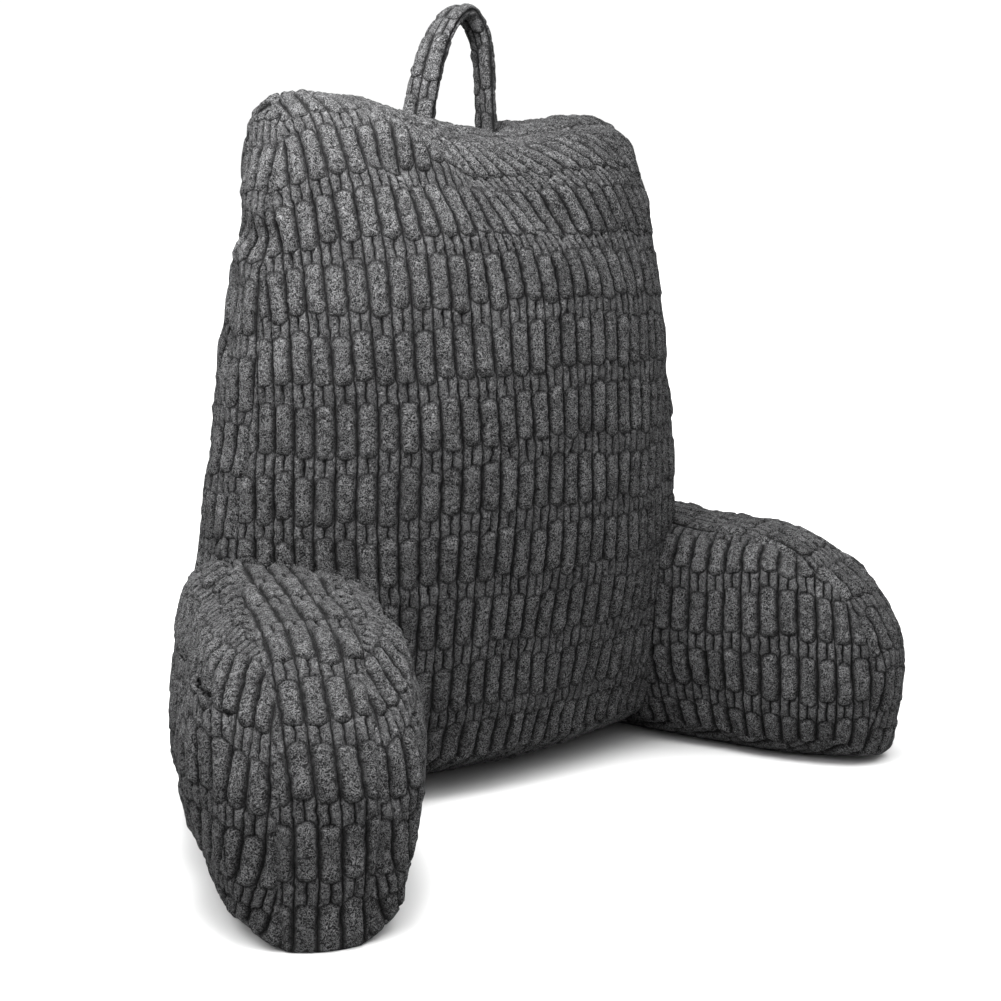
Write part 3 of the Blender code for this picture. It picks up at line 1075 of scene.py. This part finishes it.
    def crumple(self, piece: bpy.types.Object) -> None:
        """Press the folds in, and pucker the cloth along its seams.

        Args:
            piece: the object to work on.
        """
        mesh = piece.data
        points = read_points(mesh)
        normals = read_normals(mesh)
        distance = np.empty(len(points), np.float32)
        mesh.attributes[SEAM_DISTANCE].data.foreach_get("value", distance)
        push = self.slack * ripple(points, self.slack_cell, self.slack_seed)
        puckers = ripple(points, self.pucker_cell, self.pucker_seed)
        near_seam = np.exp(-distance / self.pucker_reach)
        push += self.pucker * puckers * near_seam * np.clip(distance / self.pucker_starts, 0, 1)
        for fold in self.folds:
            start, end = (np.array(spot) + np.array([*self.shift, 0.0]) for spot in (fold.start, fold.end))
            line = end - start
            share = np.clip((points - start) @ line / (line @ line), 0, 1)
            off = np.linalg.norm(points - start - share[:, None] * line, axis=1)
            taper = np.clip(np.minimum(share, 1 - share) / self.fold_taper, 0, 1)
            depth = fold.depth * (self.fold_end + (1 - self.fold_end) * taper)
            push -= depth * np.exp(-(off / fold.width) ** 2)
        push *= np.clip(points[:, 2] / self.still_foot, 0, 1)
        points += normals * push[:, None]
        points[:, 2] = np.maximum(points[:, 2], 0.0)
        write_points(mesh, points)

    def build(self, ribs: RibTree) -> bpy.types.Object:
        """Build the form, inflate it, and dress it in its cloth.

        Args:
            ribs: the tree that raises the ribs.

        Returns:
            The finished mesh, before its contact with neighbours.
        """
        piece = self.cage()
        low, high = self.stuffing.held_below, self.stuffing.free_above
        held = np.clip((high - read_points(piece.data)[:, 2]) / (high - low), 0, 1)
        self.stuffing.inflate(piece, held)
        self.crumple(piece)
        ribs.raise_ribs(piece, self.cloth, PlushFinish(self.cloth).material(self.slot), 1)
        return piece

    def finish(self, piece: bpy.types.Object) -> None:
        """Rest the piece on the ground and hand it to the frame.

        Args:
            piece: the dressed form.
        """
        close_underside(piece)
        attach(piece, BODY)
        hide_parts(self.name)
        log.info("%s: %d faces", piece.name, len(piece.data.polygons))


@dataclass
class BackRest(StuffedForm):
    """The tall back-rest: front and back panels that meet over its top, with side gussets."""

    height: float = 0.556
    sink: float = 0.004
    half_width: tuple = (0.242, 0.211, 0.172)
    half_depth: tuple = (0.128, 0.128, 0.120)
    centre_y: tuple = (0.122, 0.097, 0.099)
    top_dip: float = 0.036
    dip_half_width: float = 0.113
    dip_starts: float = 0.43
    shoulder_tilt: float = 0.010
    shoulder_drop: float = 0.022
    shoulder_power: float = 8.5
    shoulder_limit: float = 1.3
    gusset: tuple = (-0.35, 0.45)
    pull_reach: float = 0.085
    pull_from: float = 0.38
    pull_full: float = 0.55
    pull_limit: float = 1.5
    pull_left: float = -0.06
    pull_soft: float = 0.022
    row_offset: float = 0.0306
    gusset_offset: float = 0.02
    measured_at: float = 0.66
    sure_half_width: float = 0.12
    sure_heights: tuple = (0.03, 0.40)
    sure_front: float = 0.05
    sure_back: float = 0.15
    folds: tuple = (
        Fold((-0.112, 0.052, 0.526), (-0.044, 0.005, 0.477), 0.012, -0.0100),
        Fold((-0.128, 0.040, 0.505), (-0.070, 0.004, 0.470), 0.011, 0.0090),
        Fold((-0.070, 0.020, 0.495), (0.070, -0.008, 0.430), 0.018, 0.0085),
        Fold((-0.060, -0.006, 0.445), (0.090, -0.006, 0.395), 0.016, -0.0030),
        Fold((-0.168, 0.160, 0.452), (-0.182, 0.068, 0.434), 0.010, 0.0150),
        Fold((-0.181, 0.140, 0.438), (-0.185, 0.085, 0.420), 0.011, -0.0085),
        Fold((-0.176, 0.120, 0.470), (-0.180, 0.060, 0.452), 0.009, -0.0030),
        Fold((0.140, 0.030, 0.470), (0.165, 0.060, 0.500), 0.009, 0.0030),
        Fold((-0.150, 0.000, 0.190), (0.010, -0.020, 0.185), 0.012, 0.0035),
    )

    @staticmethod
    def through_three(t: np.ndarray, sizes: tuple) -> np.ndarray:
        """Return the smooth value at t in 0..1 through sizes at 0, one half and 1."""
        foot, middle, top = sizes
        return foot * (1 - t) * (1 - 2 * t) + middle * 4 * t * (1 - t) + top * t * (2 * t - 1)

    def surface(self, a: np.ndarray, b: np.ndarray, c: np.ndarray) -> np.ndarray:
        """Return the back-rest's smooth surface, as the CAD solid has it.

        Args:
            a: box places across.
            b: box places in depth.
            c: box places in height.

        Returns:
            The points, in metres.
        """
        x, y, z = self.blown_box(a, b, c)
        t = (z + 1) / 2
        level = np.maximum(t, self.sink / (self.height + self.sink))
        across = x * self.through_three(level, self.half_width)
        deep = self.through_three(level, self.centre_y) + y * self.through_three(level, self.half_depth)
        upper = np.clip((t - self.dip_starts) / (1 - self.dip_starts), 0, 1) ** 2
        dip = self.top_dip * np.exp(-(across / self.dip_half_width) ** 2)
        outward = across / self.half_width[2]
        tilt = self.shoulder_tilt * np.clip(outward, -1, 1)
        drop = self.shoulder_drop * np.minimum(np.abs(outward), self.shoulder_limit) ** self.shoulder_power
        tall = t * (self.height + self.sink) - self.sink - upper * (dip + tilt + drop)
        return np.stack([across + self.shift[0], deep + self.shift[1], np.maximum(tall, 0)], -1)

    def columns(self, box: PanelBox) -> tuple:
        """Return the depth columns where the front and the back seam of a gusset run."""
        places = self.even_stations(1, box.deep)
        return tuple(int(np.argmin(np.abs(places - seam))) for seam in self.gusset)

    def panels(self, box: PanelBox, points: np.ndarray) -> Sequence[Panel]:
        """Return the front, the back, the two gussets and the underside.

        Args:
            box: the box of panels, with its grids of point numbers.
            points: every box point's place.

        Returns:
            The panels, in that order.
        """
        half = box.deep // 2
        ahead, behind = self.columns(box)
        top, right, left = (box.sides[side] for side in (Side.TOP, Side.RIGHT, Side.LEFT))
        local = points - np.array([*self.shift, 0.0])
        x, y, z = local.T
        lowest, highest = self.sure_heights
        middle = (np.abs(x) < self.sure_half_width) & (z < highest) & (z > lowest)
        front = [box.sides[Side.FRONT], top[:, :half + 1], right[:ahead + 1], left[box.deep - ahead:]]
        back = [box.sides[Side.BACK], top[:, half:], right[behind:], left[:box.deep - behind + 1]]
        row = round(self.measured_at * box.tall)
        flat = np.stack([x, z + self.row_offset], -1)
        side = np.stack([y, z + self.row_offset + self.gusset_offset], -1)
        return [
            Panel(front, flat, middle & (y < self.sure_front), measured_row=box.sides[Side.FRONT][:, row]),
            Panel(back, flat, middle & (y > self.sure_back)),
            Panel([right[ahead:behind + 1]], side, z > lowest),
            Panel([left[box.deep - behind:box.deep - ahead + 1]], side, z > lowest),
            Panel([box.sides[Side.UNDERSIDE]], local[:, :2], z < 1, flat=True),
        ]

    def pulled(self, index: int, cloth: np.ndarray) -> np.ndarray:
        """Pull the front panel's upper part sideways, so that its ribs lean to the handle.

        Args:
            index: the panel's place in the list.
            cloth: its cloth coordinates.

        Returns:
            Its coordinates after the pull.
        """
        if index:
            return cloth
        u, v = cloth.T
        v = v - self.row_offset
        share = (v - self.pull_from) / (self.pull_full - self.pull_from)
        pull = self.pull_reach * np.clip(share, 0, self.pull_limit) ** 2
        pull = pull / (1 + np.exp(-(u - self.pull_left) / self.pull_soft))
        return np.stack([u + pull, v + self.row_offset], -1)

    def seams(self, box: PanelBox) -> np.ndarray:
        """Return the gussets' edges and the line over the top where the panels meet.

        Args:
            box: the box of panels, with its grids of point numbers.

        Returns:
            The numbers of the points on them.
        """
        ahead, behind = self.columns(box)
        right, left = box.sides[Side.RIGHT], box.sides[Side.LEFT]
        edges = [right[ahead], right[behind], left[box.deep - ahead], left[box.deep - behind]]
        edges += [right[ahead:behind + 1, -1], left[box.deep - behind:box.deep - ahead + 1, -1]]
        edges.append(box.sides[Side.TOP][:, box.deep // 2])
        return np.unique(np.concatenate(edges))


@dataclass
class Arm(StuffedForm):
    """A splayed arm: an outer and a seat-side panel, with a strip over its top and front."""

    hand: Hand = Hand.LEFT
    half_thick: float = 0.078
    height: float = 0.199
    sink: float = 0.006
    reach_front: float = 0.132
    reach_back: float = 0.196
    middle_x: float = 0.250
    middle_y: float = -0.068
    splay: float = math.radians(23.0)
    lean_in: float = -0.05
    lean_height: float = 0.08
    drop: float = 0.12
    strip_half_width: float = 0.043
    slant: tuple = (20.0, -34.0)
    slant_from: float = 0.05
    slant_full: float = 0.15
    slant_heights: tuple = (0.0, 0.30)
    slant_steps: int = 120
    slanted_panels: tuple = (1,)
    row_offset: float = 0.012
    sure_along: tuple = (-0.08, 0.10)
    sure_heights: tuple = (0.04, 0.15)

    def surface(self, a: np.ndarray, b: np.ndarray, c: np.ndarray) -> np.ndarray:
        """Return the arm's smooth surface, as the CAD solid has it.

        Args:
            a: box places across.
            b: box places along the arm.
            c: box places in height.

        Returns:
            The points, in metres.
        """
        x, y, z = self.blown_box(a, b, c)
        along = np.where(y < 0, y * self.reach_front, y * self.reach_back)
        across = x * self.half_thick
        t = (z + 1) / 2
        forward = np.clip((self.reach_front - along) / (2 * self.reach_front), 0, 1)
        tall = t * (self.height * (1 - self.drop * forward) + self.sink) - self.sink
        cosine, sine = math.cos(self.splay), math.sin(self.splay)
        world_x = self.middle_x + across * cosine - along * sine + self.lean_in * (tall - self.lean_height)
        world_y = self.middle_y + across * sine + along * cosine
        placed = (self.hand.value * world_x + self.shift[0], world_y + self.shift[1], np.maximum(tall, 0))
        return np.stack(placed, -1)

    def flipped(self) -> bool:
        """Tell whether the arm mirrors the box."""
        return self.hand is Hand.LEFT

    def forward(self) -> Vector:
        """Return the direction in which the arm reaches away from the back-rest."""
        return Vector((self.hand.value * math.sin(self.splay), -math.cos(self.splay), 0.0))

    def side_places(self, points: np.ndarray) -> np.ndarray:
        """Return flat coordinates of points on a side panel: back along the arm, and up.

        Args:
            points: the points.

        Returns:
            The coordinates, in metres.
        """
        middle = np.array([self.hand.value * self.middle_x, self.middle_y, 0.0])
        middle += np.array([*self.shift, 0.0])
        return np.stack([-(points - middle) @ np.array(self.forward()), points[..., 2]], -1)

    def slanted(self, flat: np.ndarray) -> np.ndarray:
        """Return cloth coordinates for ribs that lean more and more up a side panel.

        Args:
            flat: the panel's coordinates with upright ribs.

        Returns:
            The coordinates, in metres.
        """
        low, high = np.radians(self.slant)
        heights = np.linspace(*self.slant_heights, self.slant_steps + 1)
        share = np.clip((heights - self.slant_from) / (self.slant_full - self.slant_from), 0, 1)
        leans = np.tan(low + (high - low) * share) * (heights[1] - heights[0])
        pushed = np.interp(flat[..., 1], heights, np.cumsum(leans))
        return np.stack([flat[..., 0] + pushed, flat[..., 1] + self.row_offset], -1)

    def panels(self, box: PanelBox, points: np.ndarray) -> Sequence[Panel]:
        """Return the strip, the outer and the seat-side panel, the rear and the underside.

        Args:
            box: the box of panels, with its grids of point numbers.
            points: every box point's place.

        Returns:
            The panels, in that order.
        """
        first, last = self.strip_columns(box)
        top, front = box.sides[Side.TOP], box.sides[Side.FRONT]
        side = self.side_places(points)
        across = points @ np.array([math.cos(self.splay), self.hand.value * math.sin(self.splay), 0.0])
        across = across - across[front[box.across // 2, box.tall // 2]] + self.cloth.rib_width / 2
        upright = np.stack([across, side[:, 1] + self.row_offset], -1)
        on_front = np.zeros(len(points), bool)
        on_front[front[first:last + 1, box.tall // 4:box.tall * 2 // 3]] = True
        along, height = side.T
        on_side = (along > self.sure_along[0]) & (along < self.sure_along[1])
        on_side &= (height > self.sure_heights[0]) & (height < self.sure_heights[1])
        rear = np.stack([across, points[:, 2]], -1)
        every = np.ones(len(points), bool)
        return [
            Panel([front[first:last + 1], top[first:last + 1]], upright, on_front),
            Panel([box.sides[Side.RIGHT], front[last:], top[last:]], side, on_side),
            Panel([box.sides[Side.LEFT], front[:first + 1], top[:first + 1]], side, on_side),
            Panel([box.sides[Side.BACK]], rear, every, flat=True),
            Panel([box.sides[Side.UNDERSIDE]], points[:, :2], every, flat=True),
        ]

    def pulled(self, index: int, cloth: np.ndarray) -> np.ndarray:
        """Turn a side panel's cloth so that its ribs slant."""
        return self.slanted(cloth) if index in self.slanted_panels else cloth

    def strip_columns(self, box: PanelBox) -> tuple:
        """Return the grid columns where the strip's two seams run.

        Args:
            box: the box of panels, with its grids of point numbers.

        Returns:
            The two columns.
        """
        share = self.strip_half_width / self.half_thick
        places = self.even_stations(0, box.across)
        first = int(np.argmin(np.abs(places + share)))
        return first, box.across - first

    def seams(self, box: PanelBox) -> np.ndarray:
        """Return the strip's two edges.

        Args:
            box: the box of panels, with its grids of point numbers.

        Returns:
            The numbers of the points on them.
        """
        first, last = self.strip_columns(box)
        sides = (box.sides[Side.TOP], box.sides[Side.FRONT])
        edges = [grid[edge] for grid in sides for edge in (first, last)]
        return np.unique(np.concatenate(edges))


@dataclass(frozen=True)
class StrapStation:
    """One place on the handle's middle line, and the turn of its width there."""

    x: float
    z: float
    turn_deg: float


@dataclass
class CarryHandle:
    """The carry handle: a flat tube of the same cloth, bent into a loop."""

    cloth: PlushCloth
    name: str = "handle"
    slot: str = "handle_plush"
    y: float = 0.096
    half_width: float = 0.0145
    half_thick: float = 0.0050
    squareness: float = 2.6
    ribs_around: int = 4
    steps: int = 190
    ring: int = 56
    shift: tuple = (0.0, 0.0)
    stations: tuple = (
        StrapStation(-0.0330, 0.500, 66.0),
        StrapStation(-0.0290, 0.535, 70.0),
        StrapStation(-0.0190, 0.572, 76.0),
        StrapStation(-0.0050, 0.600, 84.0),
        StrapStation(0.0140, 0.6125, 90.0),
        StrapStation(0.0290, 0.596, 96.0),
        StrapStation(0.0345, 0.571, 101.0),
        StrapStation(0.0360, 0.540, 102.0),
        StrapStation(0.0385, 0.500, 98.0),
    )

    def path(self) -> tuple:
        """Return the strap's middle points, its width directions and its thickness directions."""
        keys = np.array([[s.x, self.y, s.z, math.radians(s.turn_deg)] for s in self.stations])
        padded = np.vstack([2 * keys[0] - keys[1], keys, 2 * keys[-1] - keys[-2]])
        where = np.linspace(0, len(keys) - 1, self.steps + 1)
        cell = np.minimum(where.astype(int), len(keys) - 2)
        t = (where - cell)[:, None]
        before, start, end, after = (padded[cell + step] for step in range(4))
        curve = 2 * start + (end - before) * t
        curve += (2 * before - 5 * start + 4 * end - after) * t ** 2
        curve += (3 * start - before - 3 * end + after) * t ** 3
        curve /= 2
        turn = curve[:, 3]
        width = np.stack([np.cos(turn), -np.sin(turn), 0 * turn], -1)
        middle = curve[:, :3] + np.array([*self.shift, 0.0])
        tangent = np.gradient(middle, axis=0)
        tangent /= np.linalg.norm(tangent, axis=1)[:, None]
        width -= tangent * np.sum(width * tangent, axis=1)[:, None]
        width /= np.linalg.norm(width, axis=1)[:, None]
        return middle, width, np.cross(width, tangent)

    def build(self, ribs: RibTree) -> bpy.types.Object:
        """Build the handle with two ribs on each of its faces.

        Args:
            ribs: the tree that raises the ribs.

        Returns:
            The finished mesh, before it is seated on the back-rest.
        """
        middle, width, outward = self.path()
        length = walked(middle, 0)
        angle = np.linspace(0, 2 * math.pi, self.ring + 1)
        power = 2 / self.squareness
        wide = self.half_width * np.sign(np.cos(angle)) * np.abs(np.cos(angle)) ** power
        thick = self.half_thick * np.sign(np.sin(angle)) * np.abs(np.sin(angle)) ** power
        rings = middle[:, None] + width[:, None] * wide[None, :, None]
        rings = rings + outward[:, None] * thick[None, :, None]
        count = self.ring
        points = rings[:, :count].reshape(-1, 3)
        around = walked(np.stack([wide, thick, 0 * wide], -1), 0)
        around = around * (self.ribs_around * self.cloth.rib_width / around[-1])
        quads, places = [], []
        for step, spot in np.ndindex(self.steps, count):
            after = (spot + 1) % count
            quads.append((step * count + spot, step * count + after,
                          (step + 1) * count + after, (step + 1) * count + spot))
            places += [(around[spot], length[step]), (around[spot + 1], length[step]),
                       (around[spot + 1], length[step + 1]), (around[spot], length[step + 1])]
        ends = [tuple(range(count))[::-1], tuple(self.steps * count + n for n in range(count))]
        places += [(0.0, 0.0)] * (2 * count)
        mesh = bpy.data.meshes.new(self.name)
        mesh.from_pydata(points.tolist(), [], quads + ends)
        piece = new_piece(self.name, mesh, places, np.full(len(points), NO_SEAM_NEAR))
        face_outwards(mesh)
        ribs.raise_ribs(piece, self.cloth, PlushFinish(self.cloth).material(self.slot), 0)
        return piece

    def finish(self, piece: bpy.types.Object) -> None:
        """Hand the handle to the frame.

        Args:
            piece: the dressed handle.
        """
        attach(piece, BODY)
        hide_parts(self.name)
        log.info("%s: %d faces", piece.name, len(piece.data.polygons))


@dataclass
class PatchPocket:
    """The patch pocket on the left arm's outer panel: a sheet, open along its slanted mouth."""

    cloth: PlushCloth
    arm: Arm
    name: str = "pocket"
    slot: str = "pocket_plush"
    columns: int = 64
    rows: int = 72
    thick: float = 0.0025
    edge_thick: float = 0.3
    edge_width: float = 0.008
    gape: float = 0.0075
    gape_across: float = 0.8
    gape_up: float = 1.3
    lift: float = 0.0005
    search: float = 0.030
    back_station: float = -0.12
    front_station: float = -0.98
    low_station: float = -0.60
    mouth_back: float = 0.78
    mouth_front: float = 0.92
    flat: tuple = (0.100, 0.120)

    def arm_surface(self, arm_piece: bpy.types.Object, outside: np.ndarray, outward: np.ndarray) -> tuple:
        """Find the ribbed arm under each point of the pocket.

        Args:
            arm_piece: the dressed arm.
            outside: grid points outside of it.
            outward: the directions in which they lie.

        Returns:
            The points on the arm, and the cloth coordinates there.
        """
        mesh = arm_piece.data
        tree = BVHTree.FromObject(arm_piece, bpy.context.evaluated_depsgraph_get())
        layer = mesh.uv_layers[CLOTH_MAP].data
        under = outside - outward * self.search
        laid = np.zeros((*outside.shape[:2], 2))
        for spot in np.ndindex(outside.shape[:2]):
            hit, _, face, _ = tree.ray_cast(Vector(outside[spot]), Vector(-outward[spot]), 2 * self.search)
            if hit is None:
                continue
            under[spot] = hit
            polygon = mesh.polygons[face]
            corners = [mesh.vertices[index].co for index in polygon.vertices]
            shares = np.array(poly_3d_calc(corners, hit))
            laid[spot] = shares @ np.array([layer[loop].uv[:] for loop in polygon.loop_indices])
        return under, laid

    def outward(self, b: np.ndarray, c: np.ndarray, step: float = 1e-4) -> np.ndarray:
        """Return the directions out of the arm's outer side at stations b and c.

        Args:
            b: box places along the arm.
            c: box places in height.
            step: how far to either side the slope is taken.

        Returns:
            One direction of length 1 for each station.
        """
        one = np.ones_like(b)
        surface = self.arm.surface
        along = surface(one, b - step, c) - surface(one, b + step, c)
        upward = surface(one, b, c + step) - surface(one, b, c - step)
        outward = np.cross(along, upward)
        return outward / np.linalg.norm(outward, axis=-1)[..., None]

    def layers(self, arm_piece: bpy.types.Object) -> tuple:
        """Return the inner and the outer layer's point grids, and their cloth coordinates.

        Args:
            arm_piece: the dressed arm.

        Returns:
            The inner points, the outer points and the cloth coordinates.
        """
        u, v = np.meshgrid(
            np.linspace(0, 1, self.columns + 1), np.linspace(0, 1, self.rows + 1), indexing="ij"
        )
        b = self.back_station + u * (self.front_station - self.back_station)
        mouth = self.mouth_back + u * (self.mouth_front - self.mouth_back)
        c = self.low_station + v * (mouth - self.low_station)
        outward = self.outward(b, c)
        outside = self.arm.surface(np.ones_like(b), b, c) + outward * self.search
        under, laid = self.arm_surface(arm_piece, outside, outward)
        gape = self.gape * np.sin(np.pi * u) ** self.gape_across * np.sin(np.pi / 2 * v) ** self.gape_up
        edge = np.minimum(np.minimum(u, 1 - u) * self.flat[0], v * self.flat[1])
        inside_edge = np.clip(edge / self.edge_width, 0, 1)
        thick = self.thick * (self.edge_thick + (1 - self.edge_thick) * inside_edge)
        inner = under + outward * (self.lift + gape)[..., None]
        outer = under + outward * (self.lift + gape + thick)[..., None]
        return inner, outer, laid

    def build(self, arm_piece: bpy.types.Object) -> bpy.types.Object:
        """Build the pocket's two layers over the arm's ribs, closed at their rim.

        Args:
            arm_piece: the dressed arm that it is sewn on.

        Returns:
            The finished mesh.
        """
        inner, outer, laid = self.layers(arm_piece)
        count = laid[..., 0].size
        numbers = np.arange(count).reshape(laid.shape[:2])
        quads, places = [], []
        for start in (0, count):
            for i, j in np.ndindex(self.columns, self.rows):
                spots = ((i, j), (i + 1, j), (i + 1, j + 1), (i, j + 1))
                quads.append([int(numbers[spot]) + start for spot in spots])
                places += [laid[spot] for spot in spots]
        rim = [(i, 0) for i in range(self.columns)]
        rim += [(self.columns, j) for j in range(self.rows)]
        rim += [(i, self.rows) for i in range(self.columns, 0, -1)]
        rim += [(0, j) for j in range(self.rows, 0, -1)]
        for here, after in zip(rim, rim[1:] + rim[:1]):
            first, second = int(numbers[here]), int(numbers[after])
            quads.append([first, second, second + count, first + count])
            places += [laid[here], laid[after], laid[after], laid[here]]
        mesh = bpy.data.meshes.new(self.name)
        points = np.concatenate([inner.reshape(-1, 3), outer.reshape(-1, 3)])
        mesh.from_pydata(points.tolist(), [], quads)
        piece = new_piece(self.name, mesh, places)
        face_outwards(mesh)
        mesh.materials.append(PlushFinish(self.cloth).material(self.slot))
        return piece

    def finish(self, piece: bpy.types.Object) -> None:
        """Hand the pocket to the frame.

        Args:
            piece: the dressed pocket.
        """
        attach(piece, BODY)
        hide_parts(self.name)
        log.info("%s: %d faces", piece.name, len(piece.data.polygons))


@dataclass
class Studio:
    """A pale floor, soft light and the camera at the photograph's viewing angle."""

    shift: tuple
    camera_at: tuple = (-0.930, -1.183, 0.489)
    look: tuple = (0.600, 0.782, -0.167)
    lens: float = 70.24
    sky: float = 1.02
    sky_window: float = 6.0
    window_towards: tuple = (-0.16, -0.16, 0.96)
    window_span: tuple = (0.45, 0.95)
    key: float = 18.0
    key_at: tuple = (-0.28, -0.12, 0.84)
    key_size: float = 0.35
    key_aim: tuple = (0.0, 0.0, 0.25)
    floor: float = 0.42
    floor_reach: float = 30.0
    floor_roughness: float = 0.9
    floor_specular: float = 0.1
    sensor: float = 36.0

    def build(self) -> None:
        """Set up the floor, the light and the camera."""
        self.lay_floor()
        self.light_sky()
        self.hang_lamp()
        self.set_camera()
        bpy.context.scene.view_settings.view_transform = "Standard"

    def lay_floor(self) -> None:
        """Lay the pale floor."""
        reach = self.floor_reach
        corners = [(-reach, -reach, 0), (reach, -reach, 0), (reach, reach, 0), (-reach, reach, 0)]
        mesh = bpy.data.meshes.new("floor")
        mesh.from_pydata(corners, [], [(0, 1, 2, 3)])
        ground = bpy.data.objects.new("floor", mesh)
        bpy.context.scene.collection.objects.link(ground)
        paint = bpy.data.materials.new("floor_white")
        paint.use_nodes = True
        shader = paint.node_tree.nodes["Principled BSDF"]
        shader.inputs["Base Color"].default_value = (self.floor, self.floor, self.floor, 1.0)
        shader.inputs["Roughness"].default_value = self.floor_roughness
        shader.inputs["Specular IOR Level"].default_value = self.floor_specular
        mesh.materials.append(paint)

    def light_sky(self) -> None:
        """Light the scene from all round, with a wide bright window overhead."""
        world = bpy.data.worlds.new("studio")
        world.use_nodes = True
        sums = NodeSums(world.node_tree)
        facing = sums.node("ShaderNodeVectorMath")
        facing.operation = "DOT_PRODUCT"
        sums.feed(facing.inputs[0], sums.node("ShaderNodeTexCoord").outputs["Generated"])
        facing.inputs[1].default_value = Vector(self.window_towards).normalized()
        rise = sums.node("ShaderNodeMapRange")
        rise.interpolation_type = "SMOOTHSTEP"
        sums.feed(rise.inputs["Value"], facing.outputs["Value"])
        rise.inputs["From Min"].default_value, rise.inputs["From Max"].default_value = self.window_span
        rise.inputs["To Min"].default_value = self.sky
        rise.inputs["To Max"].default_value = self.sky + self.sky_window
        background = world.node_tree.nodes["Background"]
        background.inputs["Color"].default_value = (1.0, 1.0, 1.0, 1.0)
        sums.feed(background.inputs["Strength"], rise.outputs["Result"])
        bpy.context.scene.world = world

    def hang_lamp(self) -> None:
        """Hang the key lamp over the arm with the pocket."""
        light = bpy.data.lights.new("key", "AREA")
        light.energy = self.key
        light.size = self.key_size
        lamp = bpy.data.objects.new("key", light)
        lamp.location = self.key_at
        lamp.visible_camera = False
        down = Vector(self.key_aim) - Vector(self.key_at)
        lamp.rotation_euler = down.to_track_quat("-Z", "Y").to_euler()
        bpy.context.scene.collection.objects.link(lamp)

    def set_camera(self) -> None:
        """Set the camera at the photograph's viewing angle."""
        lens = bpy.data.cameras.new("camera")
        lens.sensor_width = self.sensor
        lens.lens = self.lens
        camera = bpy.data.objects.new("camera", lens)
        camera.location = Vector(self.camera_at) + Vector((*self.shift, 0.0))
        camera.rotation_euler = Vector(self.look).to_track_quat("-Z", "Y").to_euler()
        bpy.context.scene.collection.objects.link(camera)
        bpy.context.scene.camera = camera


def main() -> None:
    """Build the pillow's pieces in order and report each."""
    logging.basicConfig(level=logging.INFO, format="%(name)s: %(message)s")
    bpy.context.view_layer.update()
    back_low, back_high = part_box("backrest")
    strap_low, strap_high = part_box("handle")
    shift = ((back_low.x + back_high.x) / 2, (strap_low.y + strap_high.y) / 2 - CarryHandle.y)
    cloth = PlushCloth()
    ribs = RibTree()
    back_rest = BackRest(
        name="backrest", slot="backrest_plush", cloth=cloth, counts=(90, 52, 54), seam_share=0.765,
        rounding=Rounding(1.0, 1.0, 0.17, 0.14, 0.79, 0.50, 0.82, 0.50), shift=shift,
    )
    back = back_rest.build(ribs)
    left = Arm(
        name="arm_left", slot="arm_left_plush", cloth=cloth, counts=(44, 108, 40), shift=shift,
        rounding=Rounding(0.66, 0.40, 0.50, 0.85, 1.0, 0.10, 0.0, 0.10), slanted_panels=(1, 2),
        folds=(
            Fold((-0.341, -0.125, 0.032), (-0.325, -0.172, 0.010), 0.007, 0.0065),
            Fold((-0.330, -0.150, 0.050), (-0.300, -0.188, 0.042), 0.010, -0.0035),
            Fold((-0.318, -0.178, 0.022), (-0.262, -0.196, 0.030), 0.009, 0.0035),
            Fold((-0.342, -0.100, 0.085), (-0.318, -0.165, 0.075), 0.010, 0.0030),
        ),
    )
    right = Arm(
        name="arm_right", slot="arm_right_plush", cloth=cloth, counts=(44, 96, 40), shift=shift,
        rounding=Rounding(0.84, 0.40, 0.53, 0.91, 1.0, 0.49, 0.0, 0.10), hand=Hand.RIGHT,
        half_thick=0.0763, height=0.2035, reach_front=0.1265, reach_back=0.150, middle_x=0.2447,
        middle_y=-0.0206, splay=math.radians(20.5), lean_in=-0.094, drop=0.127,
    )
    arms = [(arm, arm.build(ribs)) for arm in (left, right)]
    handle = CarryHandle(cloth=PlushCloth(rib_width=0.0152, crest=0.0010, valley=0.0012), shift=shift)
    strap = handle.build(ribs)
    pocket = PatchPocket(cloth=cloth, arm=left)
    patch = pocket.build(arms[0][1])
    for arm, piece in arms:
        seat_against(piece, back, arm.forward(), ARM_ROOM)
    seat_against(strap, back, Vector((0, 0, 1)), STRAP_ROOM)
    back_rest.finish(back)
    for arm, piece in arms:
        arm.finish(piece)
    handle.finish(strap)
    pocket.finish(patch)
    Studio(shift).build()


if __name__ == "__main__":
    main()
